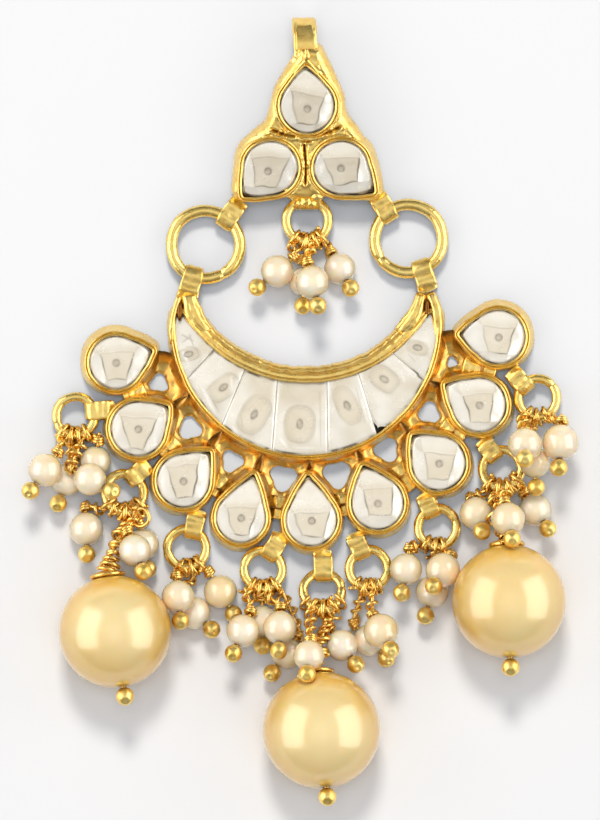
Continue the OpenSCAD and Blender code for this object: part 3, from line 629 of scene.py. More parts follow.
        # painted highlight: the foil's broad, uneven gleam
        pl += 0.20 * nz((p[0], p[1], 1), 0.55, seed + 9) + 0.05 * nz((p[0], p[1], 8), 1.3, seed + 12)
        # marks: a positive strength draws a dark stroke, a negative one a smear of painted highlight
        for (x0, y0, x1, y1, wd, st) in marks:
            d_, t = seg_dist(p, v2(x0, y0), v2(x1, y1))
            f = math.exp(-(d_ / abs(wd)) ** 2) * math.sin(math.pi * (0.12 + 0.76 * t)) ** 0.5
            if st > 0: l = max(l, st * f)
            else: pl = max(pl, -st * f)
        if joint is not None:
            # painted highlight: a light band along each joint, as if its edge caught the light, and a broken dark line
            # in the joint itself
            for (a, b) in joint:
                d_, t = seg_dist(p, a, b)
                pl = max(pl, 1.0 * math.exp(-(d_ / 0.32) ** 2))
                l = max(l, 0.5 * math.exp(-((d_ - 0.02) / 0.035) ** 2) * max(0.0, 0.05 + 1.5 * nz((p[0], p[1], 4), 0.9, seed + 2)))
        return max(z, z_low + 0.25), float(min(0.92, max(0.0, l))), float(min(1.0, max(0.0, pl)))
    for k, s in enumerate(S):
        for i in range(n):
            p = C + s * (O[i] - C)
            z, l, pl = look(p, s)
            line.append(l); pale.append(pl)
            edge.append(float(smooth(0.955, 1.0, s)) * edge_tone)
            verts.append((p[0], p[1], z))
    faces = grid_faces(len(S), n, close_cols=True, flip=True)
    base = len(verts)
    z, l, pl = look(C, 0.0)
    verts.append((C[0], C[1], z))
    line.append(l); pale.append(pl); edge.append(0.0)
    faces += [(base, i, (i + 1) % n) for i in range(n)]
    low = len(verts)
    last = (len(S) - 1) * n
    for i in range(n):
        verts.append((O[i][0], O[i][1], z_low))
        line.append(0.0); pale.append(0.0); edge.append(1.0)
    faces += [(last + i, low + i, low + (i + 1) % n, last + (i + 1) % n) for i in range(n)]
    faces.append(tuple(low + i for i in reversed(range(n))))
    V = np.array(verts)
    if lift is not None: V = lift(V)
    g.add(V, faces, 0, line=line, pale=pale, edge=edge)

def inset(P, d): return P - normals2(P) * d

# ------------------------------------------------------------------ lower frame
petal_geo = []
pet_stones = []
for i in range(9):
    c, ang = petal_pose(i)
    r, tip = PETALS[i][2], PETALS[i][3]
    O = place2(drop(r, tip), c, ang)
    Nn = normals2(O)
    base = 0.12
    out = PETALS[i][0] - 90
    fl = base + 0.24 * np.clip(Nn[:, 0] * cosd(out) + Nn[:, 1] * sind(out), 0, 1) ** 1.5
    if i in (0, 8):
        fl = fl + (0.42 if i == 0 else 0.36) * np.clip(Nn[:, 0] * cosd(98 - 8 * (i > 0)) + Nn[:, 1] * sind(98 - 8 * (i > 0)), 0, 1) ** 1.4
    # the wall is lower in flare where it meets the crescent
    g = Geo()
    cup(g, O, fl, seed=20 + i * 3.7)
    petal_geo.append(g)
    pet_stones.append((O, c, ang))

frame_geo = Geo()
for g in petal_geo:
    frame_geo.add(g.v, g.f, 0, **g.a)
frame_geo.make("petal_cups", [GOLD], "gold", ["lower_frame"], angle=50)

# the crescent's cup
def moon_outline(gap=0.0, y_cut=8.5, n=420):
    ro, ri = MOON_R - gap, BITE_R + gap
    yo = y_cut - MOON_C[1]
    a1 = math.degrees(math.atan2(yo, -math.sqrt(ro * ro - yo * yo)))    # left end on the outer arc
    a0 = math.degrees(math.atan2(yo, math.sqrt(ro * ro - yo * yo)))
    outer = [v2(MOON_C[0] + ro * cosd(k), MOON_C[1] + ro * sind(k)) for k in np.linspace(a1, 360 + a0, 260)]
    yb = y_cut - BITE_C[1]
    b0 = math.degrees(math.atan2(yb, math.sqrt(ri * ri - yb * yb)))
    b1 = math.degrees(math.atan2(yb, -math.sqrt(ri * ri - yb * yb)))
    if b1 > 0: b1 -= 360
    inner = [v2(BITE_C[0] + ri * cosd(k), BITE_C[1] + ri * sind(k)) for k in np.linspace(b0, b1, 220)]
    return soften(resample(outer + inner, n), 0.14)
MO = moon_outline()
MN = normals2(MO)
bite = (np.linalg.norm(MO - BITE_C, axis=1) < BITE_R + 0.25).astype(float)
step = np.linalg.norm(MO[1] - MO[0])
bite = soften(np.column_stack([bite, bite]), 0.35, step=step)[:, 0] * (1 - smooth(7.4, 8.5, MO[:, 1]))
flare = np.full(len(MO), 0.32)
moon_geo = Geo()
cup(moon_geo, MO, flare, seed=5.5, bumps=(0.05, 0.03), notch=0.02, bands=bite)
def arc(c, r, a0, a1, n): return np.array([v2(c[0] + r * cosd(k), c[1] + r * sind(k)) for k in np.linspace(a0, a1, n)])

def bar(g, path, widths, tops, thick, seed, grooves=(), across=25):
    """A bar with a domed top along a path of points (x, y). grooves are (place across from -1 to 1, width, depth, how
    much painted shade darkens it).
    """
    n = 34
    P = soften(resample(np.array([v2(*q) for q in path]), n, closed=False), 0.35, closed=False)
    tt = np.linspace(0, 1, len(path))
    W = np.interp(np.linspace(0, 1, n), tt, widths)
    Z = np.interp(np.linspace(0, 1, n), tt, tops)
    verts, rec, cre = [], [], []
    for i in range(n):
        T = unit(P[min(i + 1, n - 1)] - P[max(i - 1, 0)])
        S = v2(T[1], -T[0])
        w = W[i] / 2 * (1 + 0.06 * nz((i * 0.16, 0, 0), 1.0, seed))
        end = min(1.0, min(i, n - 1 - i) / 3.0)
        top = Z[i] - 0.35 * (1 - end) ** 2
        for k in range(across):
            u = -1 + 2 * k / (across - 1)
            q = P[i] + S * u * w
            z = top - 0.38 * min(1.0, w / 0.5) * abs(u) ** 3 + 0.05 * nz((q[0], q[1], 0), 1.4, seed + 1) + 0.03 * nz((q[0], q[1], 3), 3.2, seed + 2)
            c = 0.0
            for (u0, gw, dep, dark) in grooves:
                e = math.exp(-((u - u0 + 0.08 * nz((i * 0.2, u0, 2), 1.0, seed)) / gw) ** 2) * (0.7 + 0.5 * nz((i * 0.25, u0, 5), 1.0, seed))
                z -= dep * e
                c = max(c, dark * e)
            verts.append((q[0], q[1], z)); rec.append(0.0); cre.append(max(0.0, c))
        for u in (1.0, -1.0):
            q = P[i] + S * u * w
            # painted shade on the bar's lower edges
            verts.append((q[0], q[1], max(0.05, top - thick))); rec.append(0.3); cre.append(0.0)
    cols = across + 2
    faces = grid_faces(n, cols, close_cols=True)
    faces.append(tuple(reversed(range(cols))))
    faces.append(tuple((n - 1) * cols + k for k in range(cols)))
    V = np.array(verts)
    # outward faces whichever way the path runs
    f = faces[0]
    nrm = np.cross(V[f[1]] - V[f[0]], V[f[2]] - V[f[1]])
    if nrm[2] < 0: faces = [tuple(reversed(f)) for f in faces]
    g.add(V, faces, 0, recess=rec, crease=cre)

HORNS = {
    -1: ([(-11.12, 10.2), (-11.3, 9.6), (-11.48, 9.08), (-11.68, 8.42), (-11.83, 7.5), (-11.88, 6.6), (-11.75, 5.6)], [0.55, 0.5, 0.5, 0.52, 0.55, 0.5, 0.4], [2.3, 2.42, 2.5, 2.58, 2.56, 2.45, 2.25],
         [(-10.42, 10.3), (-10.3, 9.7), (-10.15, 9.1), (-10.0, 8.55), (-9.75, 8.05), (-9.35, 7.5), (-8.92, 7.0), (-8.5, 6.6)], [1.25, 1.4, 1.6, 1.72, 1.62, 1.5, 1.4, 1.2], [2.3, 2.4, 2.5, 2.56, 2.55, 2.46, 2.32, 2.1],
         (-11.13, 8.6), (0.26, 0.82)),
    1: ([(10.85, 10.35), (11.1, 9.9), (11.36, 9.3), (11.52, 8.7), (11.6, 8.1), (11.69, 7.1), (11.65, 6.1)], [0.8, 0.92, 1.0, 1.0, 0.92, 0.75, 0.5], [2.3, 2.42, 2.52, 2.58, 2.56, 2.45, 2.2],
        [(10.2, 10.35), (10.1, 9.8), (9.98, 9.3), (9.8, 8.75), (9.55, 8.2), (9.1, 7.6), (8.6, 7.05), (8.15, 6.6)], [0.95, 1.05, 1.15, 1.35, 1.5, 1.5, 1.4, 1.2], [2.3, 2.4, 2.5, 2.56, 2.55, 2.46, 2.32, 2.1],
        (10.68, 8.85), (0.22, 0.8))}
def horn(g, side, seed):
    o_path, o_w, o_z, i_path, i_w, i_z, hole, size = HORNS[side]
    bar(g, o_path, o_w, o_z, 1.9, seed, [(0.0, 0.3, 0.05, 0.2)] if side > 0 else ())
    s_ = side
    bar(g, i_path, i_w, i_z, 1.9, seed + 2, [(-0.62 * s_ * -1, 0.12, 0.09, 0.75), (0.25 * s_ * -1, 0.10, 0.05, 0.35)])
    # a lump painted dark stands for the hollow where the two part, above the stone's tip: painted shade
    blob(g, v2(hole[0], hole[1], 2.22), 0.33, 22, 0.10, 1.5, seed, scale=(size[0] / 0.33, size[1] / 0.33, 1.0), recess=0.9, crease=1.0)
    # solid core below them, painted darker as if in shade
    rows = []
    a, b = v2(side * 10.85, 7.9), v2(side * 10.55, 10.3)
    for k in np.linspace(0, 1, 14):
        p = a * (1 - k) + b * k
        w = 1.15 * (1 - k) + 0.85 * k
        for t in range(16):
            q = 2 * math.pi * t / 16
            x = math.copysign(abs(math.cos(q)) ** 0.6, math.cos(q)) * w
            z = (math.copysign(abs(math.sin(q)) ** 0.6, math.sin(q)) * 0.5 + 0.5) * 1.75
            rows.append((p[0] + x, p[1], z))
    faces = [tuple(reversed(f)) for f in grid_faces(14, 16, close_cols=True)]
    faces.append(tuple(range(16)))
    faces.append(tuple(13 * 16 + j for j in reversed(range(16))))
    g.add(rows, faces, 0, recess=[0.5] * len(rows), crease=[0.8] * len(rows))
horn(moon_geo, -1, 3.0)
horn(moon_geo, 1, 7.0)
moon_geo.make("crescent_cup", [GOLD], "gold", ["lower_frame"], angle=50)

# recesses between the petals, each with a small opening
web = Geo()
WALLS = [inset(O, -0.40) for O, c, ang in pet_stones]
def in_wall(q):
    if np.linalg.norm(q - MOON_C) < MOON_R + 0.40: return True
    return any(np.linalg.norm(q - c) < 4.4 and inside(W, q) for W, (O, c, ang) in zip(WALLS, pet_stones))
def funnel(g, c, turn, size, seed, z_back):
    """One hollow: its sides run down from the cups' walls to an opening like a rounded triangle."""
    n, K = 80, 12
    hole, wall = [], []
    for i in range(n):
        a = 360.0 * i / n
        t = (a + 60) % 120 - 60
        rr = size * (0.74 + 0.30 * cosd(t * 1.5) ** 2)
        rr *= 1 + 0.09 * nz((cosd(a), sind(a), seed), 1.6, seed)
        d = v2(cosd(a + turn), sind(a + turn))
        w = rr
        while w < 2.75 and not in_wall(c + d * w): w += 0.04
        wall.append(max(w + 0.06, rr + 0.14))
        hole.append(min(rr, max(0.3, w - 0.12)))
    H = soften(np.column_stack([hole, hole]), 0.05, step=0.03)[:, 0]
    W = np.array(wall)
    verts, rec, cre = [], [], []
    def add(ring, z, rc, cr, wob=0.0):
        for i in range(n):
            a = math.radians(360.0 * i / n + turn)
            q = (c[0] + ring[i] * math.cos(a), c[1] + ring[i] * math.sin(a))
            b = nz((q[0], q[1], 0), 1.3, seed + 1)
            verts.append((q[0], q[1], max(0.0, z + wob * b)))
            rec.append(min(1.0, max(0.0, rc + 0.35 * nz((q[0], q[1], 4), 0.9, seed + 6))))
            cre.append(min(1.0, max(0.0, cr * (0.75 + 0.9 * b))))
    # painted shade: darkest at the opening and again towards the cups' walls, with dark lines at the opening's rim and
    # where the sides meet the walls
    add(H * 1.03, z_back, 0.8, 0.5)
    add(H, 0.14, 0.7, 0.4)
    add(H + 0.015, 0.34, 0.55, 0.15)
    add(H + 0.05, 0.46, 0.35, 0.0)
    for k in range(1, K + 1):
        t = k / K
        z = 0.50 + 0.55 * t + 0.55 * float(smooth(0.45, 1.0, t))
        add(H + 0.05 + (W - H - 0.05) * t, z, 0.50 + 0.32 * t, max(1.0 * float(smooth(0.66, 0.92, t)), 0.75 * float(1 - smooth(0.0, 0.22, t))), 0.10 * math.sin(math.pi * min(1, t * 1.2)))
    add(W, z_back, 0.6, 0.5)
    m = len(verts) // n
    g.add(verts, grid_faces(m, n, close_rows=True, close_cols=True, flip=True), 0, recess=rec, crease=cre)
for i in range(8):
    a = (PETALS[i][0] + PETALS[i + 1][0]) / 2
    c = v2(MOON_C[0] + HOLES[i] * sind(a), MOON_C[1] - HOLES[i] * cosd(a))
    funnel(web, c, a - 90, HOLE_R[i], 30 + i * 2.3, 0.03 + 0.03 * (i % 2))
# low saddles that close the gaps between neighbouring petals further out, with a groove of painted shade along each
# side
for i in range(8):
    a = (PETALS[i][0] + PETALS[i + 1][0]) / 2
    (Oa, ca, _), (Ob, cb, _) = pet_stones[i], pet_stones[i + 1]
    path, wid = [], []
    for r0 in np.arange(HOLES[i] + HOLE_R[i] + 0.25, 17.6, 0.2):
        q = MOON_C + v2(sind(a), -cosd(a)) * r0
        gap = min(min(np.linalg.norm(Oa - q, axis=1)), min(np.linalg.norm(Ob - q, axis=1))) - 0.40
        if gap > 0.95 and r0 > 15.4: break
        path.append((q[0], q[1])); wid.append(2 * max(0.1, gap) + 0.5)
    if len(path) > 3:
        bar(web, path, wid, np.linspace(1.15, 1.75, len(path)), 1.1, 50 + i * 3.0, [(-0.7, 0.22, 0.05, 0.9), (0.7, 0.22, 0.05, 0.9)])
web.make("web", [GOLD], "gold", ["lower_frame"], angle=60)

# dark filling at the bottom of the cups
lac = Geo()
def plate(g, P, z0, z1, lift=None):
    n = len(P)
    V = [(p[0], p[1], z0) for p in P] + [(p[0], p[1], z1 + 0.05 * nz((p[0], p[1], 0), 2.0, 1)) for p in P]
    faces = [(i, (i + 1) % n, n + (i + 1) % n, n + i) for i in range(n)]
    faces.append(tuple(reversed(range(n))))
    faces.append(tuple(n + i for i in range(n)))
    V = np.array(V)
    if lift is not None: V = lift(V)
    g.add(V, faces, 0)
plate(lac, inset(MO, 0.03), 0.74, 1.25)
for O, c, ang in pet_stones: plate(lac, inset(O, 0.03), 0.74, 1.25)
lac.make("setting_lac", [LAC], "gold", [], angle=60)

# petal stones: the table's corners about the culet
PETAL_TABLES = [
    ((-1.55, 0.80), (1.60, 1.02), (0.92, -1.45), (-0.70, -1.42)),
    ((-1.62, 1.15), (1.72, 0.86), (0.45, -1.75), (-0.62, -1.70)),
    ((-1.46, 1.30), (1.32, 1.50), (0.78, -1.36), (-0.64, -1.36)),
    ((-1.30, 0.80), (1.38, 0.95), (0.72, -1.50), (-0.72, -1.35)),
    ((-1.55, 0.66), (1.55, 0.78), (0.92, -1.42), (-0.90, -1.40)),
    ((-1.30, 1.25), (1.34, 1.42), (1.15, -0.95), (-0.85, -1.05)),
    ((-1.42, 0.95), (1.40, 0.80), (0.80, -1.40), (-0.95, -1.42)),
    ((-1.50, 0.90), (1.30, 1.05), (0.95, -1.38), (-0.72, -1.48)),
    ((-1.45, 1.00), (1.42, 0.90), (0.70, -1.50), (-0.88, -1.35))]
TOP_TABLES = [
    ((-1.38, 1.55), (1.52, 1.05), (0.62, -1.42), (-1.05, -1.30)),
    ((-1.42, 1.22), (1.88, 1.22), (0.80, -1.42), (-1.20, -1.32)),
    ((-1.62, 0.88), (1.62, 0.98), (1.45, -1.20), (-0.55, -1.45))]
for i, (O, c, ang) in enumerate(pet_stones):
    P = place2(drop(PETALS[i][2] + 0.01, PETALS[i][3] - 0.16, 150, 0.24, 0.12), c, ang)
    g = Geo()
    stone(g, P, c + v2(0.03, -0.05), 1.3, 2.34, 40 + i * 5.1, PETAL_TABLES[i])
    g.make(f"petal_stone_{i + 1}_cut", [STONE], "stone", [f"petal_stone_{i + 1}"], angle=25)

# crescent stones
DOTS = [(-10.35, 4.85), (-7.28, 1.92), (-4.56, -0.48), (-0.56, -1.31), (3.63, 0.31), (6.89, 2.64), (9.83, 5.43)]
def moon_point(which, x, y, gap):
    c, r = (BITE_C, BITE_R + gap) if which == "bite" else (MOON_C, MOON_R - gap)
    d = unit(v2(x, y) - c)
    return c + d * r, math.degrees(math.atan2(d[1], d[0]))
def moon_stone(i, gap=0.0, joint=0.012):
    def side(k, sgn):
        # end of the stone at a joint: one point on the bite, one on the outer arc
        if k < 0: return (-10.9, 8.25), (-11.42, 8.25)
        if k > 5: return (10.9, 8.25), (11.42, 8.25)
        return (CUTS[k][0], CUTS[k][1]), (CUTS[k][2], CUTS[k][3])
    (lb, lo), (rb, ro) = side(i - 1, 1), side(i, -1)
    def ang_of(which, q):
        a = moon_point(which, q[0], q[1], gap)[1]
        return a if a < 90 else a - 360
    bl, br = ang_of("bite", lb), ang_of("bite", rb)
    ol, orr = ang_of("outer", lo), ang_of("outer", ro)
    jb, jo = math.degrees(joint / BITE_R), math.degrees(joint / MOON_R)
    if i > 0: bl += jb; ol += jo
    if i < 6: br -= jb; orr -= jo
    pts = list(arc(MOON_C, MOON_R - gap, ol, orr, 40)) + list(arc(BITE_C, BITE_R + gap, br, bl, 40))
    full = []
    for k in range(len(pts)):                      # straight joints are filled in before sampling
        a, b = pts[k], pts[(k + 1) % len(pts)]
        full += [a * (1 - t) + b * t for t in np.linspace(0, 1, 8, endpoint=False)]
    P = soften(resample(full, 200), 0.05)
    if i == 5:                                     # a chipped corner, which leaves a dark gap by the rim
        q = moon_point("outer", CUTS[4][2], CUTS[4][3], 0)[0]
        for k in range(len(P)):
            d = np.linalg.norm(P[k] - q - v2(0.1, 0.15))
            P[k] = P[k] + unit(v2(*DOTS[5]) - q) * 0.62 * max(0.0, 1 - d / 1.0)
    return P
# marks on the crescent stones: (x0, y0, x1, y1, width, strength); a negative strength is a smear of painted highlight
MARKS = {
    0: [(-11.0, 6.6, -9.9, 6.0, 0.05, 0.5), (-10.9, 5.9, -10.1, 6.5, 0.05, 0.45), (-10.3, 6.6, -9.9, 5.5, 0.05, 0.5), (-10.6, 5.5, -9.9, 5.5, 0.05, 0.4),
        (-10.7, 6.2, -10.2, 5.8, 0.16, -0.9), (-10.9, 5.1, -10.3, 3.9, 0.14, -1.0)],
    1: [(-9.3, 2.2, -7.9, -0.6, 0.22, -1.0), (-8.6, 1.5, -7.7, -0.2, 0.05, 0.35), (-6.6, 2.8, -6.4, 0.6, 0.12, -0.6)],
    2: [(-5.8, -0.2, -5.5, -2.2, 0.05, 0.3), (-6.6, -1.4, -5.9, -2.4, 0.2, -0.9)],
    3: [(-2.7, 0.6, -2.9, -3.2, 0.05, 0.3), (-2.6, -2.2, -1.7, -3.3, 0.22, -1.0), (-1.2, -3.4, 0.9, -3.4, 0.16, -0.7), (1.2, 1.5, 1.3, -3.3, 0.05, 0.3), (1.5, 1.2, 1.6, -3.0, 0.1, -0.8)],
    4: [(4.4, 1.9, 5.2, -1.2, 0.05, 0.3), (4.7, 1.6, 5.5, -1.2, 0.12, -1.0)],
    5: [(8.3, 3.6, 8.7, 2.4, 0.14, -0.9), (5.5, 2.6, 6.3, 0.4, 0.12, -0.8)],
    6: [(10.6, 7.0, 10.9, 5.4, 0.12, -0.8), (9.0, 4.9, 9.6, 4.2, 0.05, 0.3)]}
for i in range(7):
    P = moon_stone(i)
    c = v2(*DOTS[i])
    g = Geo()
    jl = [(v2(CUTS[k][0], CUTS[k][1]), v2(CUTS[k][2], CUTS[k][3])) for k in (i - 1, i) if 0 <= k < 6]
    turn = math.degrees(math.atan2(c[1] - MOON_C[1], c[0] - MOON_C[0])) + 90
    a, b = ((0.55, 0.9), (0.95, 1.45), (1.2, 1.75), (1.32, 1.6), (0.95, 1.7), (1.0, 1.3), (0.6, 0.95))[i]
    stone(g, P, c, 1.3, 2.36, 90 + i * 3.1, None, dot=0.28, oval=(a, b, turn), rim_drop=0.03,
          edge_tone=0.3, marks=MARKS[i], joint=jl)
    g.make(f"crescent_stone_{i + 1}_cut", [STONE], "stone", [f"crescent_stone_{i + 1}"], angle=25)

# ------------------------------------------------------------------ straps
def strap(g, at, turn, w, inner, length, seed, t=0.28, z_end=None, cut=0.0):
    """A flat strap folded round a wire at 'at'; it points along -Y before it is turned."""
    def to(p): 
        q = rot_z(v2(*p), turn)
        return np.asarray(at) + q
    R = inner + t / 2 - 0.06
    path = []
    L = length
    for k in np.linspace(0, 1, 9): path.append((0, L - L * k, -R))
    for a in np.linspace(-90, -270, 17)[1:]: path.append((0, R * cosd(a) * 1.0, R * sind(a)))
    dip = 0.16
    for k in np.linspace(0, 1, 12)[1:]: path.append((0, L * k, R - dip * math.sin(math.pi * min(1, k * 1.5)) ** 1.5 - 0.42 * float(smooth(0.5, 1.0, k))))
    path = [(0.05 * nz((0, p[1], p[2]), 1.0, seed), p[1], p[2] + 0.05 * nz((0, p[1], p[2]), 1.2, seed + 3) * (1 if p[2] > 0 else 0)) for p in path]
    n = len(path)
    W = []
    for p in path:
        W.append(w * (1.0 + 0.07 * nz((0, p[1], p[2]), 0.9, seed + 5) - 0.13 * smooth(0.1, -0.95, p[1])))
    g0 = Geo()
    band(g0, path, W, t, (1, 0, 0), 0.15)
    V = []
    for p in g0.v:
        q = v2(*p)
        # dents of the pliers
        e = 1 if q[2] > 0 else 0.2
        q[2] += (0.09 * nz(q, 1.0, seed + 7) + 0.02 * nz(q, 2.6, seed + 8)) * e
        q[0] += 0.07 * nz((q[0] * 0.3, q[1], q[2]), 1.1, seed + 11)
        # the free end is cut unevenly, its corners rounded
        if q[1] > length * 0.8: q[1] -= 0.22 * (abs(q[0]) / (w / 2)) ** 3 + 0.08 * nz((q[0], 3, 0), 2.0, seed)
        V.append(to(q))
    V = [(p[0], p[1], max(p[2], 0.0)) for p in V]
    g.add(V, g0.f, 0, recess=[0.0] * len(V))

straps = Geo()
for k, name in enumerate("abcdefghi"):
    r = RINGS[name]
    strap(straps, strap_at(name), r[3] + 90, 1.62, JUMP_W + 0.2, r[4] * 0.85, 3.0 + k * 2.7)
for j, l in enumerate(LINKS):
    p = v2(l[0] + LINK_R * cosd(l[5]), l[1] + LINK_R * sind(l[5]), l[2])
    strap(straps, p, l[6] + 90, 1.75, LINK_W + 0.2, 2.0, 50 + j * 3.0)
straps.make("petal_straps", [GOLD], "gold", ["lower_frame"], angle=45)

# ------------------------------------------------------------------ trefoil
top = Geo()
top_stones = []
for i, (x, y, r, tip, ang) in enumerate(TOP_CUPS):
    O = place2(drop(r, tip), v2(x, y), ang)
    Nn = normals2(O)
    fl = np.full(len(O), 0.12)
    for d, extra in (((-8, 0.34), (188, 0.16)), ((160, 0.32), (270, 0.18)), ((20, 0.22), (270, 0.18)))[i]:
        fl = fl + extra * np.clip(Nn[:, 0] * cosd(d) + Nn[:, 1] * sind(d), 0, 1) ** 1.3
    cup(top, O, fl, 60 + i * 4.1, lift_top)
    top_stones.append((O, v2(x, y), ang))

def slab(g, P, z0, z1, seed, lift, rise=0.0, recess=0.0, edge=0.25, rows=6):
    """A solid with the outline P between two heights, its upper edge rounded over."""
    P = np.asarray(P, float)
    N = normals2(P)
    n = len(P)
    verts = []
    prof = [(0.0, z0), (0.0, z1 - edge)] + [(-edge * (1 - cosd(90 * k / rows)), z1 - edge + edge * sind(90 * k / rows)) for k in range(1, rows + 1)]
    for d, z in prof:
        for k in range(n):
            w = 0.04 * nz((P[k][0], P[k][1], 0), 1.4, seed)
            verts.append((P[k][0] + N[k][0] * (d + w), P[k][1] + N[k][1] * (d + w), z + (rise(P[k]) if callable(rise) else rise) * (z - z0) / (z1 - z0)))
    faces = grid_faces(len(prof), n, close_cols=True)
    faces.append(tuple(reversed(range(n))))
    faces.append(tuple((len(prof) - 1) * n + k for k in range(n)))
    V = np.array(verts)
    if lift is not None: V = lift(V)
    g.add(V, faces, 0, recess=[recess] * len(V))

def relief(g, P, height, z_low, step, lift, seed=0.0):
    """A solid with the outline P, a flat back at z_low and a modelled front: height(xy, inside) gives z and the amounts
    of the two painted shades, of hollows and of creases.
    """
    P = resample(np.asarray(P, float), 420)
    lo, hi = P.min(0) - step, P.max(0) + step
    nx, ny = int((hi[0] - lo[0]) / step) + 2, int((hi[1] - lo[1]) / step) + 2
    X, Y = np.meshgrid(lo[0] + step * np.arange(nx), lo[1] + step * np.arange(ny))
    Q = np.column_stack([X.ravel(), Y.ravel()])
    d2 = ((Q[:, None, :] - P[None, :, :]) ** 2).sum(2)
    near = d2.argmin(1)
    dist = np.sqrt(d2.min(1))
    A, B = P, np.roll(P, 1, 0)
    ins = np.zeros(len(Q), bool)
    for a, b in zip(A, B):
        c = (a[1] > Q[:, 1]) != (b[1] > Q[:, 1])
        if c.any(): ins[c] ^= Q[c, 0] < (b[0] - a[0]) * (Q[c, 1] - a[1]) / (b[1] - a[1]) + a[0]
    s_ = np.where(ins, dist, -dist)
    snap = (s_ < 0.35 * step) & (s_ > -0.8 * step)
    Q[snap] = P[near[snap]]
    s_[snap] = 0.0
    use = s_ >= 0
    cells = []
    for j in range(ny - 1):
        for i in range(nx - 1):
            k = j * nx + i
            c = (k, k + 1, k + nx + 1, k + nx)
            if use[list(c)].all(): cells.append(c)
    ids = sorted({k for c in cells for k in c})
    new = {k: i for i, k in enumerate(ids)}
    verts, rec, cre = [], [], []
    for k in ids:
        z, a, b = height(Q[k], s_[k])
        verts.append((Q[k][0], Q[k][1], z)); rec.append(a); cre.append(b)
    faces = [tuple(new[k] for k in c) for c in cells]
    # its edge, in order, for the sides and the back
    nxt = {}
    seen = set()
    for f in faces:
        for a, b in zip(f, f[1:] + f[:1]): seen.add((a, b))
    for a, b in seen:
        if (b, a) not in seen: nxt[b] = a
    loop = [next(iter(sorted(nxt)))]
    while nxt[loop[-1]] != loop[0] and len(loop) <= len(nxt): loop.append(nxt[loop[-1]])
    base = len(verts)
    for k in loop:
        verts.append((verts[k][0], verts[k][1], z_low)); rec.append(0.3); cre.append(0.0)
    m = len(loop)
    for k in range(m):
        k2 = (k + 1) % m
        faces.append((loop[k], loop[k2], base + k2, base + k))
    faces.append(tuple(base + k for k in range(m)))
    V = np.array(verts)
    if lift is not None: V = lift(V)
    g.add(V, faces, 0, recess=rec, crease=cre)

# plate behind the three cups, darkened with painted shade
slab(top, soften(resample([(-3.2, 0.6), (-0.9, 0.35), (0, 0.25), (0.9, 0.35), (3.2, 0.6), (4.6, 3.6), (2.4, 7.8), (0.9, 11.6), (-0.7, 11.6), (-2.4, 7.8), (-4.6, 3.6)], 120), 0.4), 0.16, 1.15, 3, lift_top, recess=0.55)
# the body round and between the cups, filled to the height of their rims and rounded off at its outline
def lie(q, z=1.2): return (q[0], (q[1] - TOP_Y + z * sind(TOP_TILT)) / cosd(TOP_TILT))
BODY = [lie(q) for q in [(0.1, 32.0), (-0.75, 31.9), (-1.0, 31.1), (-1.93, 29.75), (-2.85, 28.1), (-3.25, 26.4), (-3.55, 25.35), (-4.3, 24.75), (-5.09, 24.1), (-6.05, 22.75), (-6.4, 20.95),
    (-6.62, 19.3), (-6.3, 18.45), (-5.2, 18.3), (-3.3, 18.5), (-1.9, 18.65), (-0.9, 18.4), (0.9, 18.4), (1.75, 18.75), (3.5, 18.6), (4.8, 18.4), (6.2, 18.3), (6.9, 19.0),
    (6.75, 19.9), (6.3, 21.4), (5.5, 23.2), (4.56, 24.8), (3.72, 25.75), (3.5, 26.5), (3.3, 27.6), (2.98, 28.5), (2.1, 30.4), (1.35, 31.9)]]
BODY = soften(resample(BODY, 420), 0.16)
CUP_LINES = [O for O, c_, a_ in top_stones]
CUP_N = [normals2(O) for O in CUP_LINES]
GROOVES = [((-3.05, 6.35), (-2.1, 5.95), 0.10, 0.95), ((-2.1, 5.95), (-1.0, 5.72), 0.10, 0.9), ((3.0, 6.55), (2.1, 6.15), 0.10, 0.95), ((2.1, 6.15), (0.9, 5.8), 0.09, 0.85),
    ((-0.16, 5.0), (-0.02, 3.2), 0.09, 0.95), ((-0.02, 3.2), (-0.06, 1.5), 0.09, 0.9), ((-0.4, 5.25), (0.5, 5.3), 0.08, 0.6), ((-3.0, 5.95), (-4.2, 5.2), 0.07, 0.3),
    ((3.6, 6.1), (4.5, 5.3), 0.07, 0.35), ((1.2, 11.9), (2.2, 9.9), 0.07, 0.25)]
